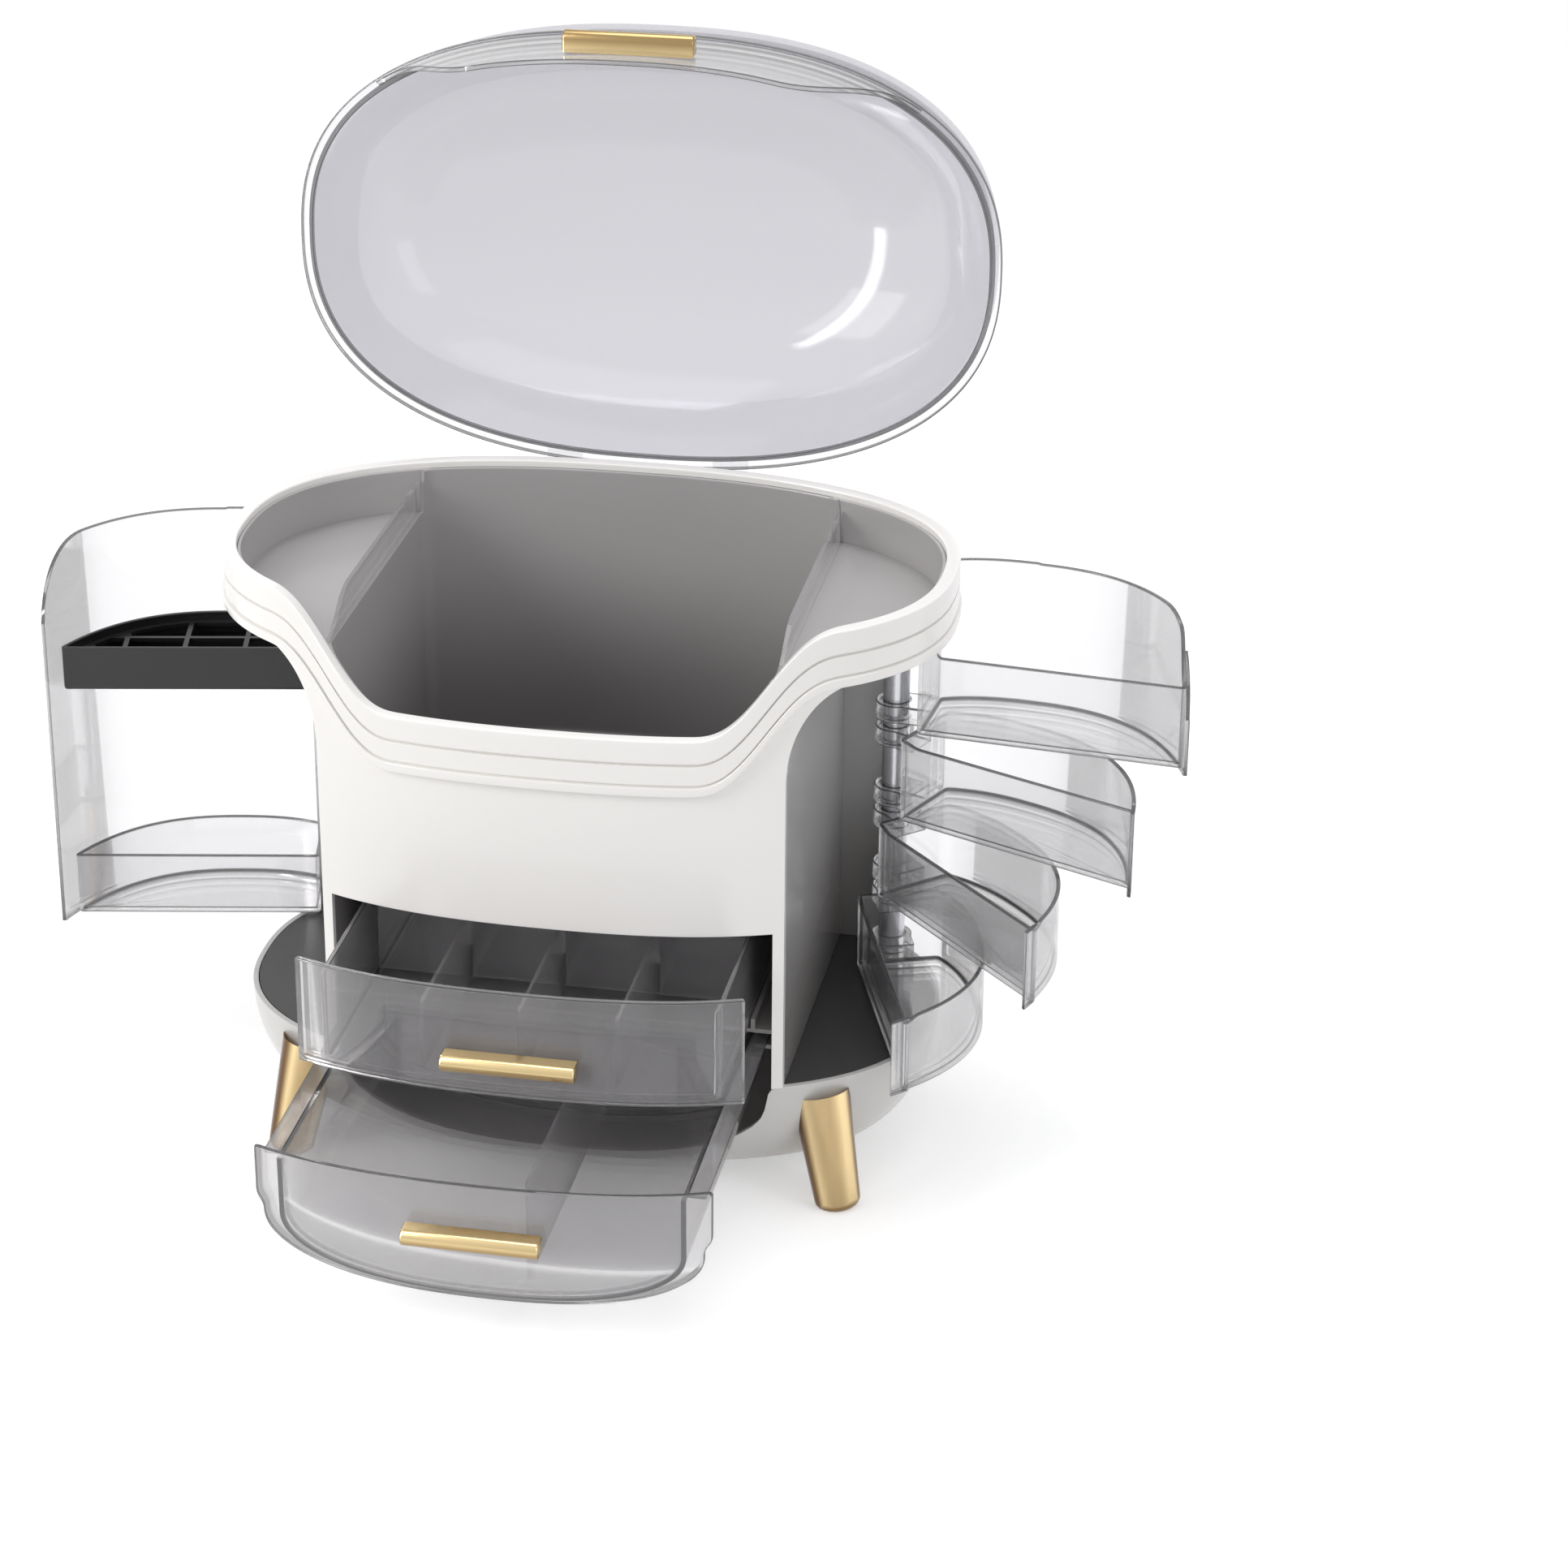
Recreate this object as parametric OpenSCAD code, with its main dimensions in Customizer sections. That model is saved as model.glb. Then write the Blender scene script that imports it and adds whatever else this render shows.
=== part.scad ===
// Oval dustproof makeup organizer: a white body on four gold legs, a clear dome lid, two clear drawers,
// a clear swing-out door on the left and four clear swing-out bins on the right.
// It is drawn open. Each moving piece is modelled closed and then moved by its own opening value.
// X is to the right, Y to the back and Z up. The origin is the centre of the base's flat underside.

/* [Body] */
// Width across the side panels
body_w = 340; // [330:1:360]
// Depth front to back
body_d = 211; // [206:1:225]
// Squareness of the oval plan, where 2 is an ellipse
plan_power = 2.4; // [2.3:0.1:2.6]
// Points round the oval plan
plan_points = 64; // [56:8:80]
// Wall of the white shells
shell_wall = 2.5; // [2:0.1:3]
// Running clearance between pieces that move
gap = 0.6; // [0.4:0.1:0.8]
// Fitting clearance between pieces that are fixed together
fit = 0.2; // [0.1:0.05:0.3]

/* [Base] */
// Height of the bowl from its flat underside to its edge
bowl_h = 58; // [54:1:62]
// How far the bowl's side curves in at the bottom
bowl_curve = 44; // [38:1:46]
// Rings up the bowl's curve
bowl_rings = 7; // [5:1:9]
// Thickness of the side decks
deck_t = 2.5; // [2:0.1:3.5]
// How far the feet stand below the underside
foot_drop = 8; // [6:0.5:12]
// Radius of a leg at the floor
leg_r_foot = 9.5; // [8:0.5:11]
// Radius of a leg where it enters the bowl
leg_r_top = 13; // [11:0.5:14]
// Length of a leg along its own axis
leg_l = 56; // [50:1:60]
// Distance of the feet in from the body's sides
foot_in_x = 34; // [30:1:40]
// Distance of the feet in from the body's front and back
foot_in_y = 27.5; // [23:0.5:33]
// Outward lean of the legs
leg_lean = 11; // [6:1:14]
// Radius of the rounded foot edge
foot_round = 2; // [1:0.5:3]

/* [Upper shell] */
// Height of the lid seam
seam_z = 289.5; // [284:0.5:295]
// Height of the rim band
band_h = 27.5; // [24:0.5:29]
// Height of the low front lip
lip_z = 240; // [234:1:246]
// Distance from the front panel's edge in to the end of the level front lip
lip_in = 42.5; // [38:0.5:50]
// Distance past the front panel's edge at which the curved edge is level again
swoop_out = 25.5; // [20:0.5:28]
// How far the rim band stands out from the side panels
band_out = 4; // [3:0.5:5]
// How far the front panel stands out from the side panels
panel_out = 1.5; // [1:0.5:2.5]
// Bead along the band's lower edge
bead = 1; // [0.5:0.5:1.5]
// Height of the bead
bead_h = 5; // [3:1:8]
// Half width of the front panel
panel_half = 110.5; // [108:0.5:112]
// Width of the posts beside the drawers
post_w = 5; // [4:0.5:6]
// Height of the panel's lower edge
panel_z = 140; // [137:0.5:142]
// Width of the rounded window corner
window_rx = 30; // [24:1:32]
// Height of the rounded window corner
window_rz = 46; // [38:1:50]
// Depth of the fine groove below the lip
groove_d = 0.8; // [0.5:0.1:1.2]
// Width of the fine groove
groove_w = 1.2; // [0.8:0.1:2]
// Distance of the groove below the rim's edge
groove_down = 11; // [8:1:14]

/* [Top tray] */
// Wall of the grey tray
tray_wall = 2; // [1.6:0.1:2.5]
// Depth of the side shelves below the seam
shelf_down = 24.5; // [20:0.5:26]
// Distance from the front panel's edge to the inside of the deep middle well
well_in = 6.5; // [5.5:0.5:10]
// Thickness of the clear dividers
divider_t = 2; // [1.5:0.1:2.5]
// Height of the clear dividers above the shelf
divider_h = 16; // [12:1:18]
// Depth of the slot that holds a divider
divider_slot = 1.5; // [1:0.1:1.7]

/* [Inner walls] */
// Thickness of the grey partitions
partition_t = 2.5; // [2:0.1:3]
// Thickness of the shelf between the drawers
mid_shelf_t = 2; // [1.6:0.1:2.5]
// Height of the top of the shelf between the drawers
mid_shelf_z = 85.5; // [84:0.5:87]
// Lower edge of the partitions
partition_foot = 30; // [24:1:36]
// How far the lower corners of the partitions are sloped off
partition_slope = 30; // [26:1:36]
// Thickness of the guides and ledges beside the drawers
guide_t = 2; // [1.6:0.1:2.5]
// Height of the guides and ledges beside the drawers
guide_h = 5; // [4:0.5:8]

/* [Pivots] */
// Distance of the pivot posts in from the body's sides
post_in = 32; // [31:0.5:34]
// Distance of the pivot posts' axis in front of the back wall
post_back = 6.9; // [6.8:0.1:8]
// Radius of the pivot posts
post_r = 6.5; // [5:0.5:7]
// Wall of the clear knuckles
knuckle_wall = 3; // [2:0.5:3.5]
// Height of one knuckle
knuckle_h = 9; // [7:1:12]

/* [Drawers] */
// Wall of the clear drawers
drawer_wall = 2.2; // [1.8:0.1:2.6]
// Distance from the front panel's edge to the side of a drawer box
box_in = 17; // [15.5:0.5:20]
// Place of the back of the drawer boxes
box_back = 84; // [78:1:86]
// Upper drawer, opening shown
upper_open = 66; // [0:1:120]
// Lower drawer, opening shown
lower_open = 140; // [0:1:140]
// Distance from the front panel's edge to the rounded drawer mouth in the bowl
mouth_in = 9; // [8.5:0.5:12]
// Height of the lowest point of the mouth
mouth_low = 16; // [14:1:20]
// Height at which the mouth's curve starts
mouth_start = 50; // [46:1:52]
// Squareness of the mouth's curve
mouth_power = 2.2; // [2:0.1:2.6]
// Thickness of the drawer dividers
cell_t = 1.6; // [1.2:0.1:2]
// Columns of cells in the upper drawer
cell_columns = 4; // [2:1:6]
// Height of the cell dividers
cell_h = 34; // [20:1:38]
// Place of the lower drawer's divider, to the right of the middle
brush_divider_x = 18; // [-20:1:40]

/* [Handles] */
// Length of a handle
handle_l = 63; // [50:1:80]
// Height of a handle
handle_h = 8; // [6:0.5:10]
// How far a handle stands out
handle_d = 10; // [8:0.5:12]
// Radius of the pegs that hold a handle
peg_r = 1.6; // [1.2:0.1:2]
// Distance of the pegs from the middle
peg_x = 22; // [16:1:26]

/* [Lid] */
// Height of the dome above the seam
dome_h = 104; // [96:1:112]
// Wall of the lid
lid_wall = 2.5; // [2:0.1:3]
// Thickness of the lid's flange
flange_t = 3; // [2.5:0.5:4]
// How far the flange stands out from the dome
flange_out = 3.5; // [2.5:0.5:4]
// Squareness of the dome's plan scaling
dome_power = 2.5; // [2.2:0.1:2.8]
// Squareness of the dome's height
crown_power = 2.8; // [2.4:0.1:3.2]
// Rings up the dome
dome_rings = 9; // [7:1:11]
// Opening angle shown
lid_open = 91; // [0:1:91]
// Distance of the hinge axis behind the rim band
hinge_back = 3.6; // [3.6:0.1:6]
// Distance of the hinge axis below the seam
hinge_down = 13; // [11:0.5:13]
// Radius of the hinge knuckles
hinge_r = 3; // [2.6:0.1:3.2]
// Radius of the hinge pin
hinge_pin_r = 1.2; // [1:0.1:1.4]
// Place of the hinges from the middle
hinge_x = 42; // [34:1:50]
// Length of one hinge
hinge_l = 33; // [26:1:38]

/* [Door and bins] */
// Wall of the clear door and bins
clear_wall = 2; // [1.6:0.1:2.4]
// Left door, opening angle shown
door_open = 79; // [0:1:100]
// Top bin, opening angle shown
bin_1_open = 84; // [0:1:100]
// Second bin, opening angle shown
bin_2_open = 66; // [0:1:100]
// Third bin, opening angle shown
bin_3_open = 43; // [0:1:100]
// Lowest bin, opening angle shown
bin_4_open = 19; // [0:1:100]
// Width of the grip lip past the end of a bin
grip_w = 6; // [4:0.5:8]
// Distance from the pivot posts' axis to the back of the bins
arm_l = 15; // [14:0.5:18]
// Height of the low wall of the top bin
low_wall = 42; // [30:1:50]
// Level of the floor of the top bin
bin_1_z = 186; // [180:1:190]
// Level of the floor of the second bin
bin_2_z = 141; // [138:1:146]
// Level of the floor of the third bin
bin_3_z = 99; // [96:1:104]
// Level of the door's shelf
shelf_z = 183; // [170:1:190]
// Height of the low wall of the door's shelf
shelf_wall_h = 23; // [18:1:30]
// Height of the low wall of the door's lower tray
tray_wall_h = 33; // [24:1:40]
// Length of a hole in the lipstick rack, along the door
rack_l = 27.5; // [20:0.5:29]
// Width of a hole in the lipstick rack
rack_w = 17; // [14:0.5:18]
// Length of the last, short hole near the door's free end
rack_end = 14; // [8:1:16]
// Holes along the lipstick rack, besides the short one
rack_columns = 3; // [1:1:3]
// Bar between the holes of the lipstick rack
rack_bar = 2.5; // [2:0.5:4]
// Height of the lipstick rack above the shelf
rack_up = 17; // [12:1:20]
// Thickness of the lipstick rack's plate and edge
rack_t = 2; // [1.6:0.1:2.5]

/* [Hidden] */

eps = 0.01;
reach = 400;
body_a = body_w / 2;
body_b = body_d / 2;
foot_x = body_a - foot_in_x;
foot_y = body_b - foot_in_y;
band_z = seam_z - band_h;
window_z = band_z - 2 * fit;
lip_half = panel_half - lip_in;
swoop_half = panel_half + swoop_out;
curve_half = swoop_half - 5;
shelf_top = seam_z - shelf_down;
tray_floor_z = panel_z + 2;
bay_half = panel_half - post_w;
box_half = panel_half - box_in;
mouth_half = panel_half - mouth_in;
well_half = panel_half - well_in;
lower_top = mid_shelf_z - mid_shelf_t - gap - 2 * fit;
bin_side = panel_half + 2 * gap;

// Superellipse plan: one point at parameter t on an oval of half sizes a and b
function spow(v, p) = sign(v) * pow(abs(v), p);
function oval_at(a, b, t) = [a * spow(cos(t), 2 / plan_power), b * spow(sin(t), 2 / plan_power)];
function oval(a, b) = [for (i = [0:plan_points - 1]) oval_at(a, b, 360 * i / plan_points)];

// What is fitted inside the white shells, and the bays and pivots that follow it
inner_a = body_a - shell_wall - fit;
inner_b = body_b - shell_wall - fit;
bay_front = oval_y(panel_half, inner_a, inner_b) - 1;
pivot_x = body_a - post_in;
pivot_y = oval_y(pivot_x, inner_a, inner_b) - post_back;
knuckle_r = post_r + gap + knuckle_wall;
bay_back = pivot_y + knuckle_r + gap + partition_t;
bin_back = pivot_y - arm_l;

// The oval's parameter where it crosses a given x or y, in its first quarter
function t_at_x(x, a) = acos(pow(x / a, plan_power / 2));
function t_at_y(y, b) = asin(pow(y / b, plan_power / 2));

// Half depth of the oval at a distance x from the middle
function oval_y(x, a, b) = b * pow(1 - pow(abs(x) / a, plan_power), 1 / plan_power);

// Points of an arc of the oval from parameter t0 to t1
function oval_arc(a, b, t0, t1, n = 20) = [for (i = [0:n]) oval_at(a, b, t0 + (t1 - t0) * i / n)];

// The curved upper edge of the front, level at the sides and low in the middle
function ease(u) = let (v = min(1, max(0, u))) v * v * v * (v * (6 * v - 15) + 10);
function rim_edge(x) = lip_z + (seam_z - lip_z) * ease((abs(x) - lip_half) / (swoop_half - lip_half));

// The window's rounded upper corner: up from the panel's side on the left, down to it on the right
function window_corner(side, n = 12) = [
    for (i = [0:n]) let (q = side < 0 ? 90 * i / n : 90 - 90 * i / n)
        [side * (panel_half + window_rx * (1 - cos(q))), window_z - window_rz * (1 - sin(q))]
];

module slab(points, z0, z1) {
    translate([0, 0, z0]) linear_extrude(z1 - z0) polygon(points);
}

module oval_slab(a, b, z0, z1) {
    slab(oval(a, b), z0, z1);
}

module oval_ring(a, b, w, z0, z1) {
    difference() {
        oval_slab(a, b, z0, z1);
        oval_slab(a - w, b - w, z0 - 1, z1 + 1);
    }
}

// A shape drawn in X and Z that reaches forward from y = back
module front_prism(points, back = 0) {
    translate([0, back, 0]) rotate([90, 0, 0]) linear_extrude(reach) polygon(points);
}

// A closed solid from rings of equal counts, capped flat at both ends
module ring_solid(rings) {
    n = len(rings[0]);
    m = len(rings);
    polyhedron(
        points = [for (r = rings) each r],
        faces = concat(
            [[for (i = [0:n - 1]) i]],
            [[for (i = [0:n - 1]) m * n - 1 - i]],
            [for (r = [0:m - 2], i = [0:n - 1]) [r * n + i, (r + 1) * n + i, (r + 1) * n + (i + 1) % n]],
            [for (r = [0:m - 2], i = [0:n - 1]) [r * n + i, (r + 1) * n + (i + 1) % n, r * n + (i + 1) % n]]
        )
    );
}

// One ring of the bowl at angle q of its quarter curve, drawn in by w all round
function bowl_ring(q, w) = let (inset = w + (bowl_curve - w) * (1 - cos(q)), z = bowl_h - (bowl_h - w) * sin(q))
    [for (p = oval(body_a - inset, body_b - inset)) [p[0], p[1], z]];

module bowl_form(w = 0, top = 0) {
    lid = top > 0 ? [[for (p = oval(body_a - w, body_b - w)) [p[0], p[1], bowl_h + top]]] : [];
    ring_solid(concat([for (k = [bowl_rings:-1:0]) bowl_ring(90 * k / bowl_rings, w)], lid));
}

// The mouth that the lower drawer's front closes, grown by g all round
module mouth_prism(g) {
    n = 32;
    rz = mouth_start - mouth_low;
    front_prism(concat(
        [for (i = [0:n]) let (q = 180 + 180 * i / n) [
            (mouth_half + g) * spow(cos(q), 2 / mouth_power),
            mouth_start + (rz + g) * spow(sin(q), 2 / mouth_power)
        ]],
        [[mouth_half + g, mouth_start + 3], [bay_half - gap + g, mouth_start + 8], [bay_half - gap + g, reach],
         [gap - bay_half - g, reach], [gap - bay_half - g, mouth_start + 8], [-mouth_half - g, mouth_start + 3]]
    ), -20);
}

// Base: bowl, side decks and legs
module base_bowl() {
    color("white") difference() {
        bowl_form();
        bowl_form(shell_wall, 1);
        mouth_prism(gap);
    }
}

module side_deck(side) {
    color("dimgray") intersection() {
        oval_slab(inner_a - fit, inner_b - fit, bowl_h - deck_t, bowl_h);
        mirror([side < 0 ? 1 : 0, 0, 0])
            translate([panel_half + fit, -reach / 2, 0]) cube([reach, reach, reach]);
    }
}

module leg(sx, sy) {
    color("gold") difference() {
        translate([sx * foot_x, sy * foot_y, -foot_drop]) rotate([sy * leg_lean * 0.7, -sx * leg_lean, 0])
            translate([0, 0, -foot_round]) rotate_extrude($fn = 48) polygon([
                [0, 0], [leg_r_foot - foot_round, 0],
                for (q = [-60:30:0]) [leg_r_foot - foot_round * (1 - cos(q)), foot_round * (1 + sin(q))],
                [leg_r_top, leg_l], [0, leg_l]
            ]);
        bowl_form(-fit, 40);
        translate([-reach / 2, -reach / 2, -foot_drop - reach]) cube(reach);
    }
}

// Inner walls
module partition(side) {
    z0 = bowl_h + fit;
    z1 = shelf_top - tray_wall - fit;
    color("gray") mirror([side < 0 ? 1 : 0, 0, 0]) {
        translate([panel_half, 0, 0]) rotate([0, -90, 0]) linear_extrude(partition_t) polygon([
            [z0, -bay_front], [z1, -bay_front], [z1, bay_back], [z0, bay_back],
            [partition_foot, bay_back - partition_slope], [partition_foot, partition_slope - bay_front]
        ]);
        intersection() {
            translate([panel_half - eps, bay_back - partition_t, z0]) cube([reach, partition_t, z1 - z0]);
            oval_slab(inner_a, inner_b, 0, seam_z);
        }
    }
}

module middle_shelf() {
    half = panel_half - partition_t - fit;
    color("gray") {
        translate([-half, -bay_front, mid_shelf_z - mid_shelf_t])
            cube([2 * half, bay_front + bay_back, mid_shelf_t]);
        for (s = [0, 1]) mirror([s, 0, 0]) translate([box_half + gap, -bay_front, mid_shelf_z - eps])
            cube([guide_t, bay_front + bay_back, guide_h]);
    }
}

// Ledges on the partitions that carry the lower drawer's flanges
rail_z = lower_top - 6;
module drawer_rails() {
    front = bay_front - 2;
    x0 = box_half + gap + guide_t;
    x1 = panel_half - partition_t - fit;
    drop = guide_h + guide_t;
    color("gray") for (s = [0, 1]) mirror([s, 0, 0]) translate([0, -front, rail_z - drop]) difference() {
        translate([x0, 0, 0]) cube([x1 - x0, front + bay_back, drop]);
        translate([0, -1, -guide_t]) cube([x1 - guide_t, reach, drop]);
    }
}

module back_shell() {
    half = pivot_x - 0.4 * knuckle_r;
    t0 = t_at_x(half, body_a);
    t1 = t_at_x(half, body_a - shell_wall);
    color("white") slab(concat(
        oval_arc(body_a, body_b, t0, 180 - t0, 40),
        oval_arc(body_a - shell_wall, body_b - shell_wall, 180 - t1, t1, 40)
    ), bowl_h + fit, band_z - fit);
}

// Upper shell: rim band with its curved front edge, front panel and the posts beside the drawers
rim_a = body_a + band_out;
rim_b = body_b + band_out;
function edge_points(drop, half) = [for (i = [0:40]) let (x = half * (i / 20 - 1)) [x, rim_edge(x) - drop]];

// A strip that follows the curved edge, between two distances below it
module edge_strip(low, high) {
    front_prism(concat(edge_points(low, curve_half), [for (i = [40:-1:0]) edge_points(high, curve_half)[i]]));
}

module above_edge(drop) {
    front_prism(concat(edge_points(drop, curve_half), [[curve_half, reach], [-curve_half, reach]]));
}

module upper_shell() {
    band_wall = band_out + shell_wall;
    panel_a = body_a + panel_out;
    panel_b = body_b + panel_out;
    color("white") difference() {
        union() {
            oval_ring(rim_a, rim_b, band_wall, band_z, seam_z);
            difference() {
                oval_ring(rim_a + bead, rim_b + bead, band_wall, band_z, band_z + bead_h);
                front_prism([[-curve_half, 0], [curve_half, 0], [curve_half, reach], [-curve_half, reach]]);
            }
            intersection() {
                oval_ring(rim_a + bead, rim_b + bead, band_wall, lip_z - band_h, seam_z);
                edge_strip(band_h, band_h - bead_h);
            }
            intersection() {
                oval_ring(rim_a, rim_b, band_wall, lip_z - band_h, seam_z);
                front_prism(concat(
                    [[-curve_half, seam_z + 1]],
                    edge_points(band_h, curve_half),
                    [[curve_half, seam_z + 1]]
                ));
            }
            intersection() {
                oval_ring(panel_a, panel_b, panel_out + shell_wall, bowl_h + fit, seam_z - 1);
                front_prism(concat(
                    [[-bay_half, bowl_h], [-panel_half, bowl_h]],
                    window_corner(-1),
                    [[-panel_half - window_rx, band_z + 1], [panel_half + window_rx, band_z + 1]],
                    window_corner(1),
                    [[panel_half, bowl_h], [bay_half, bowl_h], [bay_half, panel_z], [-bay_half, panel_z]]
                ));
            }
        }
        above_edge(0);
        intersection() {
            difference() {
                oval_slab(rim_a + bead, rim_b + bead, lip_z - band_h, seam_z);
                oval_slab(rim_a - groove_d, rim_b - groove_d, lip_z - band_h - 1, seam_z + 1);
            }
            edge_strip(groove_down + groove_w, groove_down);
        }
    }
}

// Top tray: deep middle well, two side shelves and a rim wall behind the band
module top_tray() {
    well_a = inner_a - tray_wall;
    well_b = inner_b - tray_wall;
    color("gray") difference() {
        oval_slab(inner_a, inner_b, tray_floor_z, seam_z - 3);
        oval_slab(well_a, well_b, shelf_top, seam_z);
        intersection() {
            oval_slab(well_a, well_b, tray_floor_z + tray_wall, seam_z);
            translate([-well_half, -reach / 2, 0]) cube([2 * well_half, reach, reach]);
        }
        for (s = [0, 1]) mirror([s, 0, 0])
            translate([well_half + tray_wall, -reach / 2, 0]) cube([reach, reach, shelf_top - tray_wall]);
        for (s = [0, 1]) mirror([s, 0, 0])
            translate([well_half - eps, -divider_reach, shelf_top - divider_slot])
                cube([divider_t + 2 * fit, 2 * divider_reach, divider_slot + 1]);
        above_edge(2);
    }
}

divider_reach = oval_y(well_half + tray_wall, body_a, body_b) - shell_wall - tray_wall - 1;
module divider(side) {
    front_z = max(rim_edge(well_half) - 3, shelf_top + divider_slot);
    top_z = shelf_top + divider_h;
    r = divider_reach - fit;
    color("lightgray") mirror([side < 0 ? 1 : 0, 0, 0]) translate([well_half + fit + divider_t, 0, 0])
        rotate([0, -90, 0]) linear_extrude(divider_t) polygon([
            [shelf_top - divider_slot + fit, -r], [min(front_z, top_z), -r],
            for (i = [1:8]) let (u = i / 8) [front_z + (top_z - front_z) * ease(u), -r + 40 * u],
            [top_z, r], [shelf_top - divider_slot + fit, r]
        ]);
}

// Pivot posts for the door and the bins
module pivot_post(side) {
    color("silver") translate([side * pivot_x, pivot_y, bowl_h + fit])
        cylinder(h = band_z - bowl_h - 2 * fit, r = post_r, $fn = 48);
}

// Lid hinge: brackets on the rim band, leaves on the lid and one pin through each pair
hinge_y = rim_b + hinge_back;
hinge_z = seam_z - hinge_down;
ear_l = 7;
bracket_h = 9;

// A rod or barrel on the lid's hinge axis, from x to x + l
module hinge_rod(x, l, r) {
    translate([x, hinge_y, hinge_z]) rotate([0, 90, 0]) cylinder(h = l, r = r, $fn = 32);
}

module hinge_bracket(side) {
    color("white") translate([side * hinge_x, 0, 0]) difference() {
        union() for (s = [-1, 1]) translate([s * (hinge_l - ear_l) / 2, 0, 0]) {
            hinge_rod(-ear_l / 2, ear_l, hinge_r);
            translate([-ear_l / 2, hinge_y - bracket_h - hinge_r, hinge_z - bracket_h])
                cube([ear_l, bracket_h + hinge_r, bracket_h]);
        }
        hinge_rod(-reach / 2, reach, hinge_pin_r);
        translate([-side * hinge_x, 0, 0]) {
            oval_slab(rim_a + fit, rim_b + fit, lip_z, seam_z + gap);
            oval_slab(rim_a + bead + fit, rim_b + bead + fit, lip_z, band_z + bead_h + fit);
        }
    }
}

module hinge_pins() {
    color("silver") for (s = [-1, 1]) hinge_rod(s * hinge_x - hinge_l / 2, hinge_l, hinge_pin_r - fit / 2);
}

// Lid
lid_z = seam_z + gap;
module swing_lid() {
    translate([0, hinge_y, hinge_z]) rotate([-lid_open, 0, 0]) translate([0, -hinge_y, -hinge_z]) children();
}

// One ring of the dome at angle q, drawn in by w all round
function dome_ring(q, w) = let (
        s = pow(cos(q), 2 / dome_power),
        z = lid_z + flange_t / 2 + (dome_h - flange_t / 2 - w) * pow(sin(q), 2 / crown_power)
    ) [for (p = oval((rim_a - flange_out - w) * s, (rim_b - flange_out - w) * s)) [p[0], p[1], z]];

module lid_dome() {
    turn = 84 / dome_rings;
    apron_a = rim_a - 1;
    apron_b = rim_b - 1;
    color("lightgray") swing_lid() difference() {
        union() {
            ring_solid(concat(
                [for (k = [dome_rings:-1:0]) dome_ring(turn * k, lid_wall)],
                [for (k = [0:dome_rings]) dome_ring(turn * k, 0)]
            ));
            oval_ring(rim_a, rim_b, flange_out + lid_wall, lid_z, lid_z + flange_t);
            intersection() {
                oval_ring(apron_a, apron_b, lid_wall, lip_z, lid_z + flange_t / 2);
                front_prism(concat(
                    edge_points(-gap, curve_half), [[curve_half, reach], [-curve_half, reach]]
                ));
            }
        }
        for (s = [-1, 1]) translate([s * peg_x, 0, lid_handle_z]) rotate([90, 0, 0])
            cylinder(h = reach, r = peg_r + fit, $fn = 24);
    }
}

lid_handle_z = lip_z + 14;
module handle_bar(y, z) {
    nose = handle_h / 2;
    translate([0, y, z]) {
        rotate([90, 0, 90]) translate([0, 0, -handle_l / 2]) linear_extrude(handle_l) difference() {
            union() {
                translate([nose - handle_d, -nose]) square([handle_d - nose, handle_h]);
                translate([nose - handle_d, 0]) circle(r = nose, $fn = 32);
            }
            translate([-handle_d * 0.38, -handle_h * 0.85]) circle(r = handle_h * 0.5, $fn = 32);
        }
        for (s = [-1, 1]) translate([s * peg_x, handle_peg, 0]) rotate([90, 0, 0])
            cylinder(h = handle_peg + eps, r = peg_r, $fn = 24);
    }
}

handle_peg = 2.6;
module lid_handle() {
    color("gold") swing_lid() handle_bar(-rim_b + 1 - fit, lid_handle_z);
}

module hinge_leaves() {
    leaf_l = hinge_l - 2 * ear_l - 2 * gap;
    leaf_t = 1.6;
    leaf_lap = 8;
    color("lightgray") swing_lid() difference() {
        union() for (s = [-1, 1]) translate([s * hinge_x - leaf_l / 2, 0, 0]) {
            hinge_rod(0, leaf_l, hinge_r);
            translate([0, hinge_y - leaf_t, hinge_z])
                cube([leaf_l, hinge_r + leaf_t, lid_z + flange_t - hinge_z]);
            translate([0, rim_b - leaf_lap, lid_z + flange_t + fit])
                cube([leaf_l, hinge_back + hinge_r + leaf_lap, leaf_t]);
            translate([0, hinge_y - leaf_t, lid_z + flange_t - 1])
                cube([leaf_l, hinge_r + leaf_t, 1 + fit + leaf_t]);
        }
        hinge_rod(-reach / 2, reach, hinge_pin_r + fit);
        oval_slab(rim_a - flange_out + fit, rim_b - flange_out + fit, lid_z + flange_t, seam_z + 30);
        oval_slab(rim_a + fit, rim_b + fit, lid_z - 1, lid_z + flange_t + fit);
        oval_slab(rim_a + gap, rim_b + gap, lip_z, seam_z);
    }
}

// Upper drawer: a bowed front that follows the body's oval, and a straight box behind it
module upper_drawer_box() {
    z0 = mid_shelf_z + gap;
    z1 = panel_z - gap;
    half = bay_half - gap;
    side_h = z1 - z0 - 7;
    color("lightgray") translate([0, -upper_open, 0]) difference() {
        union() {
            intersection() {
                oval_ring(body_a, body_b, drawer_wall + 0.6, z0, z1);
                translate([-half, -reach, 0]) cube([2 * half, reach, reach]);
            }
            intersection() {
                oval_slab(body_a - 1, body_b - 1, z0, z0 + side_h);
                difference() {
                    translate([-box_half, -reach, z0]) cube([2 * box_half, reach + box_back, side_h]);
                    translate([drawer_wall - box_half, -reach, z0 + drawer_wall])
                        cube([2 * (box_half - drawer_wall), reach + box_back - drawer_wall, side_h]);
                }
            }
        }
        handle_holes(upper_handle_z);
    }
}

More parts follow.
